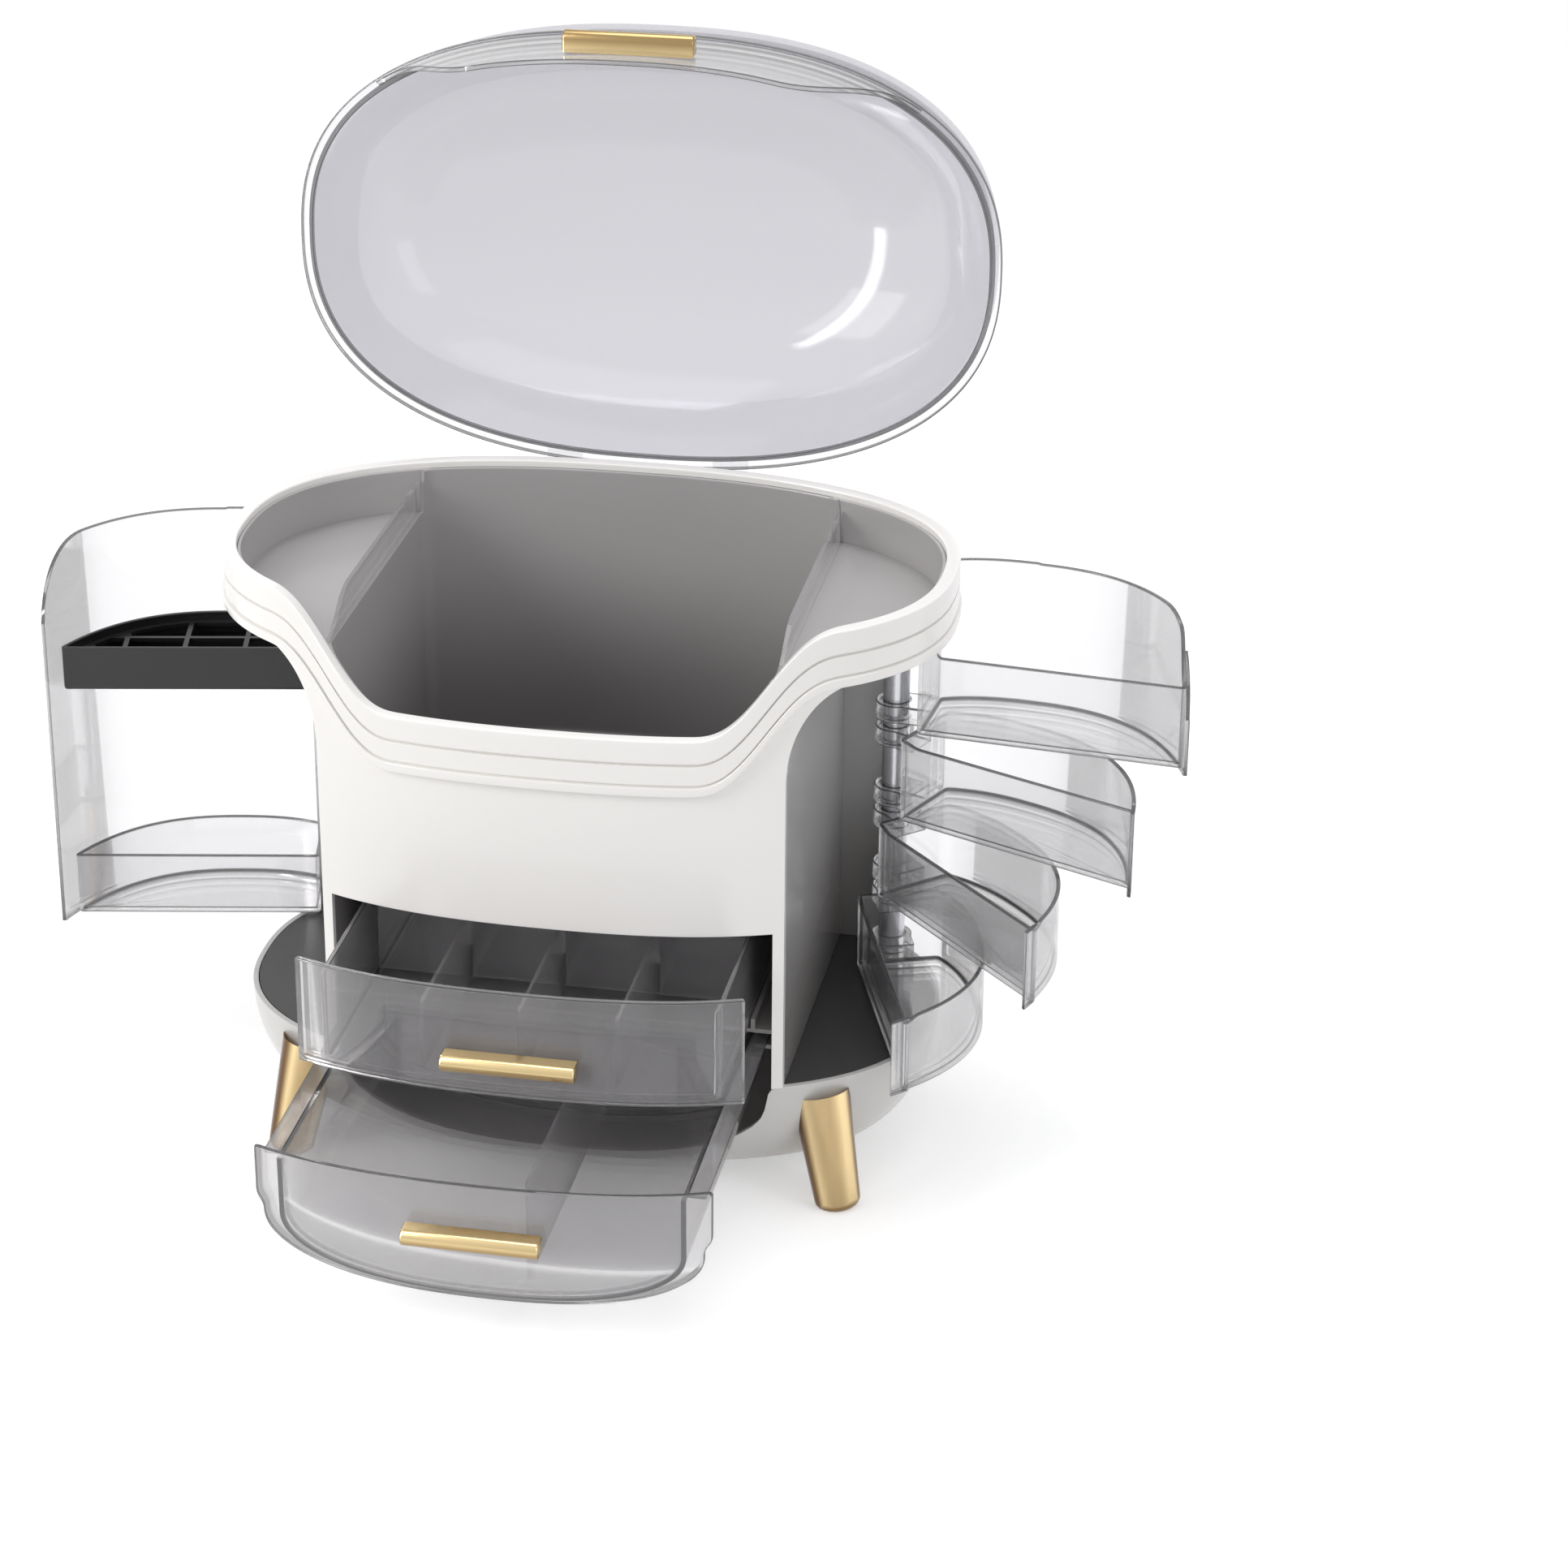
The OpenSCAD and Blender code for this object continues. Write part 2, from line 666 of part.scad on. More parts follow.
upper_handle_z = (mid_shelf_z + panel_z) / 2 - handle_h;
lower_handle_z = bowl_h - 1;
module handle_holes(z) {
    for (s = [-1, 1]) translate([s * peg_x, -body_b / 2, z]) rotate([90, 0, 0])
        cylinder(h = reach, r = peg_r + fit, $fn = 24);
}

module upper_drawer_handle() {
    color("gold") translate([0, -upper_open, 0]) handle_bar(-body_b - fit, upper_handle_z);
}

cell_front = -oval_y(box_half, body_a, body_b) + drawer_wall + 2;
cell_back = box_back - drawer_wall - gap;
cell_z = mid_shelf_z + gap + drawer_wall + fit;
cell_mid = (cell_front + cell_back) / 2 + 6;
module upper_drawer_long_dividers() {
    step = 2 * (box_half - drawer_wall) / cell_columns;
    color("lightgray") translate([0, -upper_open, 0]) difference() {
        for (i = [1:cell_columns - 1])
            translate([i * step - box_half + drawer_wall - cell_t / 2, cell_front, cell_z])
                cube([cell_t, cell_back - cell_front, cell_h]);
        translate([-reach / 2, cell_mid - cell_t / 2 - fit, cell_z + cell_h / 2])
            cube([reach, cell_t + 2 * fit, reach]);
    }
}

module upper_drawer_cross_divider() {
    half = box_half - drawer_wall - fit;
    step = 2 * (box_half - drawer_wall) / cell_columns;
    color("lightgray") translate([0, -upper_open, 0]) difference() {
        translate([-half, cell_mid - cell_t / 2, cell_z]) cube([2 * half, cell_t, cell_h]);
        for (i = [1:cell_columns - 1])
            translate([i * step - box_half + drawer_wall - cell_t / 2 - fit, cell_mid - cell_t, cell_z - 1])
                cube([cell_t + 2 * fit, 2 * cell_t, cell_h / 2 + 1 + fit]);
    }
}

// Lower drawer: its front carries on the bowl's curve and its tray has the mouth's rounded bottom
tray_low = mouth_low + 1.5;
function tray_section(w) = let (half = box_half - w, low = tray_low + w, rz = mouth_start - low, n = 24)
    concat([for (i = [0:n]) let (q = 180 + 180 * i / n)
        [half * spow(cos(q), 2 / mouth_power), mouth_start + rz * spow(sin(q), 2 / mouth_power)]],
        [[half, lower_top - 4 + (w > 0 ? 1 : 0)], [-half, lower_top - 4 + (w > 0 ? 1 : 0)]]);

module lower_drawer_box() {
    flange_top = lower_top - 4;
    color("lightgray") translate([0, -lower_open, 0]) difference() {
        union() {
            intersection() {
                difference() {
                    bowl_form(0, lower_top - bowl_h);
                    bowl_form(drawer_wall, lower_top - bowl_h + 1);
                }
                mouth_prism(0);
            }
            intersection() {
                bowl_form(0.4, lower_top - bowl_h);
                difference() {
                    front_prism(tray_section(0), box_back);
                    front_prism(tray_section(drawer_wall), box_back - drawer_wall);
                }
            }
            for (s = [0, 1]) mirror([s, 0, 0]) translate([box_half - 1, cell_front + 3, rail_z + gap])
                cube([9, box_back - cell_front - 3, flange_top - rail_z - gap]);
        }
        handle_holes(lower_handle_z);
    }
}

module lower_drawer_handle() {
    color("gold") translate([0, -lower_open, 0]) handle_bar(-body_b - fit, lower_handle_z);
}

module lower_drawer_divider() {
    color("lightgray") translate([brush_divider_x, -lower_open, 0]) intersection() {
        translate([-cell_t / 2, cell_front + 12, 0])
            cube([cell_t, cell_back - cell_front - 12, lower_top - 12]);
        translate([-brush_divider_x, 0, 0])
            front_prism(tray_section(drawer_wall + fit), box_back - drawer_wall - fit);
    }
}

// Door and bins: plan of a bin, closed, drawn in by w all round
function bin_plan(w) = let (
        a = body_a - w, b = body_b - w,
        x = bin_side + grip_w + w, y = bin_back - w
    ) concat(oval_arc(a, b, -t_at_x(x, a), t_at_y(y, b)), [[x, y]]);

// The strip of outer wall that carries on past the end of a bin as a grip
function grip_plan(w) = let (a = body_a - w, b = body_b - w, x = bin_side + grip_w + 2 * w) concat(
    oval_arc(body_a, body_b, -t_at_x(bin_side, body_a), -t_at_x(x, body_a), 4),
    oval_arc(a, b, -t_at_x(x, a), -t_at_x(bin_side, a), 4)
);

// Knuckles round a pivot post, each with an arm to the wall in front of it
module knuckles(levels) {
    for (z = levels) difference() {
        union() {
            translate([pivot_x, pivot_y, z]) cylinder(h = knuckle_h, r = knuckle_r, $fn = 48);
            translate([pivot_x - knuckle_r + 1, bin_back - eps, z])
                cube([2 * knuckle_r - 3, pivot_y - bin_back, knuckle_h]);
        }
        translate([pivot_x, pivot_y, z - 1]) cylinder(h = knuckle_h + 2, r = post_r + gap / 2, $fn = 48);
    }
}

// What lies above the window's rounded corner
module above_window() {
    front_prism(concat(
        [for (p = window_corner(1)) [p[0], p[1] - gap]],
        [[0, window_z - window_rz - gap], [0, reach], [reach, reach], [reach, window_z - gap]]
    ), 1);
}

module swing(side, turn) {
    translate([side * pivot_x, pivot_y, 0]) rotate([0, 0, side * turn])
        translate([-side * pivot_x, -pivot_y, 0]) mirror([side < 0 ? 1 : 0, 0, 0]) children();
}

// What is cut away to open the side of a bin or of the door towards the cabinet
module open_side(z) {
    translate([0, -reach / 2, z])
        cube([bin_side + grip_w + clear_wall + eps, reach / 2 + bin_back - clear_wall, reach]);
}

module bin(z0, z1, wall_top) {
    difference() {
        union() {
            slab(bin_plan(0), z0, z1);
            slab(grip_plan(clear_wall), z0, z1);
            knuckles([z0, min(z1, wall_top) - knuckle_h]);
        }
        slab(bin_plan(clear_wall), z0 + clear_wall, z1 + 1);
        open_side(wall_top);
        above_window();
    }
}

module bin_1() {
    color("lightgray") swing(1, bin_1_open) bin(bin_1_z, band_z - gap, bin_1_z + low_wall);
}

module bin_2() {
    color("lightgray") swing(1, bin_2_open) bin(bin_2_z, bin_1_z - gap - 1, bin_1_z - 4);
}

module bin_3() {
    color("lightgray") swing(1, bin_3_open) bin(bin_3_z, bin_2_z - gap - 1, bin_2_z - 4);
}

module bin_4() {
    color("lightgray") swing(1, bin_4_open) bin(bowl_h + gap, bin_3_z - gap - 1, bin_3_z - 4);
}

door_z = bowl_h + gap;
module door_shell() {
    z1 = band_z - gap;
    color("lightgray") swing(-1, door_open) difference() {
        union() {
            slab(bin_plan(0), door_z, z1);
            slab(grip_plan(clear_wall), door_z, z1);
            knuckles([door_z, (door_z + shelf_z) / 2, shelf_z, z1 - knuckle_h]);
        }
        slab(bin_plan(clear_wall), door_z - 1, z1 + 1);
        open_side(0);
        above_window();
    }
}

// A shelf tray inside the door, with a low wall on the open side
module door_pan(z0, h) {
    side = clear_wall + fit;
    difference() {
        slab(bin_plan(side), z0, z0 + h);
        slab(bin_plan(side + clear_wall), z0 + clear_wall, z0 + h + 1);
    }
}

module door_shelf() {
    color("dimgray") swing(-1, door_open) door_pan(shelf_z, shelf_wall_h);
}

module door_tray() {
    color("lightgray") swing(-1, door_open) door_pan(door_z, tray_wall_h);
}

// Black rack over the shelf: a plate with two rows of holes, a turned-down edge and a foot at the hinge end
module lipstick_rack() {
    side = 2 * (clear_wall + fit);
    x0 = bin_side + grip_w + side + rack_bar;
    y0 = bin_back - side - rack_bar;
    z = shelf_z + rack_up;
    edge = side + rack_t;
    color("black") swing(-1, door_open) difference() {
        slab(bin_plan(side), shelf_z + clear_wall + fit, z + rack_t);
        slab(bin_plan(edge), shelf_z, z);
        translate([0, -reach / 2, shelf_z])
            cube([reach, reach / 2 + bin_back - side - rack_w, rack_up - 2 * rack_t]);
        intersection() {
            oval_slab(body_a - edge - 1, body_b - edge - 1, z - 1, z + rack_t + 1);
            for (row = [0, 1], i = [0:rack_columns - row]) let (
                l = i < rack_columns ? rack_l : rack_end,
                y = y0 - i * (rack_l + rack_bar) - l
            ) translate([x0 + row * (rack_w + rack_bar), y, z - 2]) cube([rack_w, l, rack_t + 4]);
        }
    }
}

base_bowl();
side_deck(-1);  // side_deck_left
side_deck(1);  // side_deck_right
leg(-1, -1);  // leg_front_left
leg(1, -1);  // leg_front_right
leg(-1, 1);  // leg_rear_left
leg(1, 1);  // leg_rear_right
partition(-1);  // partition_left
partition(1);  // partition_right
middle_shelf();
drawer_rails();
back_shell();
upper_shell();
top_tray();
divider(-1);  // divider_left
divider(1);  // divider_right
pivot_post(-1);  // pivot_post_left
pivot_post(1);  // pivot_post_right
hinge_bracket(-1);  // lid_hinge_bracket_left
hinge_bracket(1);  // lid_hinge_bracket_right
hinge_pins();  // lid_hinge_pins
lid_dome();
lid_handle();
hinge_leaves();  // lid_hinge_leaves
upper_drawer_box();
upper_drawer_handle();
upper_drawer_long_dividers();
upper_drawer_cross_divider();
lower_drawer_box();
lower_drawer_handle();
lower_drawer_divider();
door_shell();
door_shelf();
lipstick_rack();
door_tray();
bin_1();
bin_2();
bin_3();
bin_4();
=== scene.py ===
import bpy
import numpy as np
from mathutils import Matrix, Vector


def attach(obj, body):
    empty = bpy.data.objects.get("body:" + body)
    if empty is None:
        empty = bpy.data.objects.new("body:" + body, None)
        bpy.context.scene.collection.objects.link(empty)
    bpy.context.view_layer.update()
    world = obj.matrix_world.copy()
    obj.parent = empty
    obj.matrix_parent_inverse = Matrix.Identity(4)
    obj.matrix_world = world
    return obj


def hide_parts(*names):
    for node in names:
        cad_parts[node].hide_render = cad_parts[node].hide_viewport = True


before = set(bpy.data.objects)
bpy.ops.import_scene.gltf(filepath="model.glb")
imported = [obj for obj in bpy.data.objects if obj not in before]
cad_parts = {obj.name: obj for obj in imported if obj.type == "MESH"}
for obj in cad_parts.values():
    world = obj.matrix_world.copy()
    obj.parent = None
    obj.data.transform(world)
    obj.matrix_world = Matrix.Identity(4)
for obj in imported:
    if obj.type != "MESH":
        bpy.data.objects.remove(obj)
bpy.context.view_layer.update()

scene = bpy.context.scene
scene.view_settings.view_transform = "Standard"
scene.cycles.transparent_max_bounces = 48


def look_from(azimuth, elevation, roll):
    """Right, up and back directions of a camera turned round the object, raised and then rolled, in degrees."""
    a, e, r = np.radians([azimuth, elevation, roll])
    right = np.array([np.cos(a), np.sin(a), 0.0])
    back = np.array([np.sin(a) * np.cos(e), -np.cos(a) * np.cos(e), np.sin(e)])
    up = np.cross(back, right)
    return np.cos(r) * right + np.sin(r) * up, np.cos(r) * up - np.sin(r) * right, back


FRAME_SIDE, FOCAL, SHIFT_X, SHIFT_Y = 1932, 5198.4, 235.5, 51.8
AIM_HEIGHT, EYE_DISTANCE, TABLE_Z, TABLE_REACH = 0.142, 2.0455, -0.008, 9
right, up, back = look_from(azimuth=12.97, elevation=25.89, roll=-0.68)
lens = bpy.data.cameras.new("camera")
lens.sensor_width = 36.0
lens.lens = FOCAL / FRAME_SIDE * 36
lens.shift_x, lens.shift_y = SHIFT_X / FRAME_SIDE, SHIFT_Y / FRAME_SIDE
lens.clip_start, lens.clip_end = 0.05, 50
camera = bpy.data.objects.new("camera", lens)
scene.collection.objects.link(camera)
eye = np.array([0, 0, AIM_HEIGHT]) + back * EYE_DISTANCE
turned = np.column_stack([right, up, back, eye])
camera.matrix_world = Matrix([*turned.tolist(), [0, 0, 0, 1]])
scene.camera = camera


def softbox(name, place, aim, width, height, watts, tint=(1, 1, 1)):
    """A rectangular lamp at a place in metres, turned to face a point."""
    light = bpy.data.lights.new(name, "AREA")
    light.shape, light.size, light.size_y, light.energy, light.color = "RECTANGLE", width, height, watts, tint
    lamp = bpy.data.objects.new(name, light)
    scene.collection.objects.link(lamp)
    lamp.location = place
    lamp.rotation_euler = (Vector(aim) - Vector(place)).to_track_quat("-Z", "Y").to_euler()
    return lamp


softbox("lamp_left", (-1.5, -1.3, 1.3), (0, 0, 0.2), 0.9, 1.2, 20, (1.0, 0.985, 0.96))
softbox("lamp_right", (1.9, -0.9, 1.0), (0, 0, 0.2), 0.5, 1.4, 6)
softbox("lamp_top", (0.1, 0.3, 2.1), (0, 0, 0.2), 1.4, 1.0, 15)
strip_lamp = softbox("lamp_strip", (-0.5, -0.45, 0.6), (0.1, 0.2, 0.4), 0.06, 1.1, 5)
strip_lamp.visible_diffuse = False


def add_node(tree, kind, values=(), sockets=()):
    """A shader node, with some of its inputs set to values and others linked to sockets."""
    made = tree.nodes.new("ShaderNode" + kind)
    if kind == "Mix":
        made.data_type = "RGBA"
    for key, value in dict(values).items():
        made.inputs[key].default_value = value
    for key, socket in dict(sockets).items():
        tree.links.new(socket, made.inputs[key])
    return made


def mirrored_or_seen(tree):
    """1 for rays that the camera sees straight, through clear plastic or in a gloss, and 0 for the rest."""
    path = add_node(tree, "LightPath")
    most = path.outputs["Is Camera Ray"]
    for kind in ("Is Glossy Ray", "Is Transmission Ray"):
        larger = add_node(tree, "Math", sockets={0: most, 1: path.outputs[kind]})
        larger.operation = "MAXIMUM"
        most = larger.outputs[0]
    return most


world = bpy.data.worlds.new("white_room")
scene.world = world
world.use_nodes = True
room = world.node_tree
plain = room.nodes["Background"]
plain.inputs["Color"].default_value = (0.86, 0.87, 0.89, 1)
plain.inputs["Strength"].default_value = 0.68
white = add_node(room, "Background", {"Color": (1, 1, 1, 1)})
pick = add_node(room, "MixShader", sockets={0: mirrored_or_seen(room), 1: plain.outputs[0], 2: white.outputs[0]})
room.links.new(pick.outputs[0], room.nodes["World Output"].inputs["Surface"])

table_mesh = bpy.data.meshes.new("table_top")
table_corners = [(x * TABLE_REACH, y * TABLE_REACH, TABLE_Z) for x, y in ((-1, -1), (1, -1), (1, 1), (-1, 1))]
table_mesh.from_pydata(table_corners, [], [(0, 1, 2, 3)])
table_top = bpy.data.objects.new("table_top", table_mesh)
scene.collection.objects.link(table_top)
paper = bpy.data.materials.new("white_paper")
paper.use_nodes = True
sheet = paper.node_tree
matt = sheet.nodes["Principled BSDF"]
matt.inputs["Base Color"].default_value = (0.8, 0.8, 0.8, 1)
matt.inputs["Roughness"].default_value = 0.9
matt.inputs["Specular IOR Level"].default_value = 0.1
glow = add_node(sheet, "Emission", {"Color": (1, 1, 1, 1), "Strength": 0.42})
both = add_node(sheet, "AddShader", sockets={0: matt.outputs[0], 1: glow.outputs[0]})
choose = add_node(sheet, "MixShader", sockets={0: mirrored_or_seen(sheet), 1: matt.outputs[0], 2: both.outputs[0]})
sheet.links.new(choose.outputs[0], sheet.nodes["Material Output"].inputs["Surface"])
table_mesh.materials.append(paper)

# Base bowl: one thick white moulding that curves in to a flat underside. Its front is cut away in a rounded mouth
# that the lower drawer's front fills, and its upper edge carries the decks and the shells above.
BODY_A, BODY_B, PLAN = 170.0, 105.5, 2.4
WALL, BOWL_H, BOWL_CURVE, CREASE = 2.5, 58.0, 44.0, 38


def power(v, p):
    """A power that keeps its base's sign."""
    return np.sign(v) * np.abs(v) ** p


def oval_path(a, b, count, start=0.0, stop=360.0):
    """Points evenly spaced along an oval, counter-clockwise between two angles: each coordinate is a cosine or
    sine raised to 2 over the plan's power."""
    t = np.radians(np.linspace(start, stop, 6001))
    fine = np.column_stack([a * power(np.cos(t), 2 / PLAN), b * power(np.sin(t), 2 / PLAN)])
    run = np.concatenate([[0], np.cumsum(np.linalg.norm(np.diff(fine, axis=0), axis=1))])
    whole = abs(stop - start) >= 360
    at = np.linspace(0, run[-1], count + whole)[:count]
    return np.column_stack([np.interp(at, run, fine[:, k]) for k in (0, 1)])


def surface(name, grid, edge, poles, ring):
    """A closed mesh from a grid of points in millimetres, with four-sided faces between neighbours. With poles, each
    row is a ring and fans join the first and the last row to them. Without, the last row joins the first, round a
    ring or along a strip with flat ends. All faces are turned outwards."""
    rows, columns = grid.shape[:2]
    points = grid.reshape(-1, 3)
    index = np.arange(rows * columns).reshape(rows, columns)
    ring, strip = ring or bool(poles), not ring and not poles
    down = index if poles else np.concatenate([index, index[:1]])
    both_ways = np.concatenate([down, down[:, :1]], 1) if ring else down
    faces = np.stack([both_ways[:-1, :-1], both_ways[:-1, 1:], both_ways[1:, 1:], both_ways[1:, :-1]], -1)
    faces = faces.reshape(-1, 4).tolist()
    weight = np.zeros(len(points)) if edge is None else np.broadcast_to(edge, (rows, columns)).reshape(-1)
    for pole, rim, turn in zip(poles, (index[0], index[-1]), (False, True)):
        fan = np.column_stack([rim, np.full(columns, len(points)), np.roll(rim, -1)])
        faces += (fan[:, ::-1] if turn else fan).tolist()
        points = np.concatenate([points, [pole]])
        weight = np.append(weight, 0.0)
    if strip:
        faces += [index[:, 0].tolist(), index[::-1, -1].tolist()]
    mesh = bpy.data.meshes.new(name)
    mesh.from_pydata((points * 0.001).tolist(), [], faces)
    mesh.calc_loop_triangles()
    corners = np.empty(len(mesh.loop_triangles) * 3, np.int32)
    mesh.loop_triangles.foreach_get("vertices", corners)
    a, b, c = points[corners.reshape(-1, 3)].transpose(1, 0, 2)
    if np.einsum("ij,ij->i", a, np.cross(b, c)).sum() < 0:
        mesh.flip_normals()
    # The weights go on as the edge attribute. By it, clear plastics paint their dark rim lines and gold paints its
    # reflection bands and shade.
    mesh.attributes.new("edge", "FLOAT", "POINT").data.foreach_set("value", weight.astype(np.float32))
    mesh.shade_smooth()
    mesh.set_sharp_from_angle(angle=np.radians(CREASE))
    return mesh


def add_piece(name, home, grid, edge=None, poles=(), ring=False, move=None):
    """Moves a grid of points to its place, makes it a closed mesh and puts it on its body. home names the body, the
    node of the solid model that it takes the place of, the finish's slot, which is not used, and the material."""
    body, node, slot, material = home
    if move:
        grid, poles = move(grid), [move(np.array(p)) for p in poles]
    piece = bpy.data.objects.new(name, surface(name, grid, edge, poles, ring))
    scene.collection.objects.link(piece)
    piece.data.materials.append(material)
    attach(piece, body)
    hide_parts(node)


def new_material(name):
    """An empty material, its node tree and its main shader."""
    made = bpy.data.materials.new(name)
    made.use_nodes = True
    return made, made.node_tree, made.node_tree.nodes["Principled BSDF"]


def two_tones(tree, colour, less, more, factor):
    """A colour that wanders between a darker and a lighter tone of itself by a factor."""
    tones = {"A": (*[c * less for c in colour], 1), "B": (*[min(1, c * more) for c in colour], 1)}
    return add_node(tree, "Mix", tones, {"Factor": factor}).outputs["Result"]


def plastic(name, colour, roughness, coat=0.0, mottle=0.03, painted_shade_below=None):
    """Moulded plastic: a colour that wanders very slightly, a sheen that varies with flow marks and a faint orange-peel
    bump. The painted shade below gives a darker colour that stands in for shade low in a recess, and the heights in
    metres between which it fades in downwards."""
    made, tree, shader = new_material(name)
    place = add_node(tree, "TexCoord").outputs["Object"]
    flow = add_node(tree, "TexNoise", {"Scale": 9.0, "Detail": 4.0}, {"Vector": place}).outputs["Fac"]
    tone = two_tones(tree, colour, 1 - mottle, 1 + mottle, flow)
    # Painted shade: the colour darkens towards the bottom of a recess.
    if painted_shade_below:
        shade, low, high = painted_shade_below
        height = add_node(tree, "SeparateXYZ", sockets={0: place}).outputs["Z"]
        fade = add_node(tree, "MapRange", {"From Min": low, "From Max": high}, {"Value": height})
        fade.interpolation_type = "SMOOTHSTEP"
        deep = add_node(tree, "Mix", {"A": (*shade, 1)}, {"Factor": fade.outputs["Result"], "B": tone})
        tone = deep.outputs["Result"]
    tree.links.new(tone, shader.inputs["Base Color"])
    sheen = add_node(tree, "MapRange", {"To Min": roughness * 0.85, "To Max": roughness * 1.2}, {"Value": flow})
    tree.links.new(sheen.outputs["Result"], shader.inputs["Roughness"])
    grain = add_node(tree, "TexNoise", {"Scale": 420.0}, {"Vector": place}).outputs["Fac"]
    bump = add_node(tree, "Bump", {"Strength": 0.012, "Distance": 0.001}, {"Height": grain})
    tree.links.new(bump.outputs["Normal"], shader.inputs["Normal"])
    shader.inputs["Coat Weight"].default_value = coat
    shader.inputs["Coat Roughness"].default_value = 0.06
    return made


# The bowl's white is a darker copy of the shells' white. This is painted shade, for the shade that the low bowl sits in
# under the body.
bowl_shaded_white = plastic("bowl_shaded_white", (0.66, 0.65, 0.635), 0.24, coat=0.35)
MOUTH_HALF, MOUTH_LOW, MOUTH_START, MOUTH_POWER = 101.5, 16.0, 50.0, 2.2
POST_INSIDE, MOUTH_GAP = 104.9, 1.1


def mouth_edge(x, grow):
    """Height of the mouth's edge at x: the lower half of a rounded rectangle, then two short sloped shoulders."""
    half = MOUTH_HALF + grow
    round_part = np.clip(1 - (np.abs(x) / half) ** MOUTH_POWER, 0, 1) ** (1 / MOUTH_POWER)
    bowl = MOUTH_START - (MOUTH_START - MOUTH_LOW + grow) * round_part
    shoulder = MOUTH_START + 3 + 5 * (np.abs(x) - half) / (POST_INSIDE + grow - half)
    return np.where(np.abs(x) < half, bowl, np.minimum(shoulder, BOWL_H))


def bowl_side(wall, steps):
    """One face of the bowl, from its flat bottom up the quarter ellipse to the edge of the mouth or of the rim:
    each column of points is cut where it first meets the mouth and spread evenly again."""
    q = np.radians(np.linspace(90, 0, 160))
    inset = wall + (BOWL_CURVE - wall) * (1 - np.cos(q))
    z = BOWL_H - (BOWL_H - wall) * np.sin(q)
    x = (BODY_A - inset)[:, None] * bowl_unit[:, 0]
    y = (BODY_B - inset)[:, None] * bowl_unit[:, 1]
    cut = (y < -20) & (z[:, None] > mouth_edge(x, MOUTH_GAP)) & (np.abs(x) < POST_INSIDE + MOUTH_GAP)
    top = np.where(cut.any(0), cut.argmax(0) - 0.5, len(q) - 1)
    at = np.clip(np.linspace(0, 1, steps)[:, None] * top, 0, len(q) - 1)
    low = np.minimum(at.astype(int), len(q) - 2)
    part = at - low
    column = np.arange(len(bowl_unit))
    z = np.broadcast_to(z[:, None], x.shape)
    return np.stack([(1 - part) * v[low, column] + part * v[low + 1, column] for v in (x, y, z)], -1)


bowl_unit = oval_path(BODY_A, BODY_B, 720) / (BODY_A, BODY_B)
outer, inner = bowl_side(0.0, 34), bowl_side(WALL, 34)
floor_rings = np.linspace(0.12, 0.95, 6)[:, None, None]
under = outer[0] * floor_rings * (1, 1, 0) + outer[0] * (0, 0, 1)
over = inner[0] * floor_rings[::-1] * (1, 1, 0) + inner[0] * (0, 0, 1)
lip = (outer[-1] + inner[-1]) / 2 + (0, 0, 0.2)
bowl = np.concatenate([under, outer, lip[None], inner[::-1], over])
add_piece("base_bowl_white", ("cabinet", "base_bowl", "gloss_white", bowl_shaded_white), bowl, poles=((0, 0, 0), (0, 0, WALL)))

# Legs: four short tapered gold feet that lean outwards, each with a rounded toe cut flat where it stands. Their tops
# are shaped to the bowl's curve.
FOOT_X, FOOT_Y, FOOT_DROP, LEAN, TOE = 136.0, 78.0, 8.0, 11.0, 5.5
LEG_SIDES, LEG_REACH = 96, 60.0


def gold(name, colour, roughness=0.2, streak_axis=2, deep=None):
    """Polished gold plating: a metal whose sheen varies in soft streaks along one axis of the object. deep gives a
    darker tone that the piece's own edge attribute brings in, as painted reflections and painted shade."""
    made, tree, shader = new_material(name)
    shader.inputs["Metallic"].default_value = 1.0
    scale = [60.0, 60.0, 60.0]
    scale[streak_axis] = 4.0
    place = add_node(tree, "TexCoord").outputs["Object"]
    stretch = add_node(tree, "Mapping", {"Scale": scale}, {"Vector": place}).outputs["Vector"]
    streaks = add_node(tree, "TexNoise", {"Scale": 4.0}, {"Vector": stretch}).outputs["Fac"]
    tone = two_tones(tree, colour, 0.86, 1.08, streaks)
    # Painted reflections and shade: the edge attribute mixes the dark tone in.
    if deep:
        bands = add_node(tree, "Attribute")
        bands.attribute_name = "edge"
        painted_reflection_mix = add_node(tree, "Mix", {"B": (*deep, 1)}, {"Factor": bands.outputs["Fac"], "A": tone})
        tone = painted_reflection_mix.outputs["Result"]
    tree.links.new(tone, shader.inputs["Base Color"])
    sheen = add_node(tree, "MapRange", {"To Min": roughness * 0.7, "To Max": roughness * 1.35}, {"Value": streaks})
    tree.links.new(sheen.outputs["Result"], shader.inputs["Roughness"])
    return made


def bowl_inset(z, wall=0.0):
    """How far the bowl's surface is drawn in at height z: a quarter of an ellipse below its upper edge."""
    sink = np.clip((BOWL_H - z) / (BOWL_H - wall), 0, 1)
    return wall + (BOWL_CURVE - wall) * (1 - np.sqrt(1 - sink**2))


def leg_radius(run):
    """Radius of a leg at a distance from its toe: a straight taper."""
    return 10.8 + 3.2 * run / 56


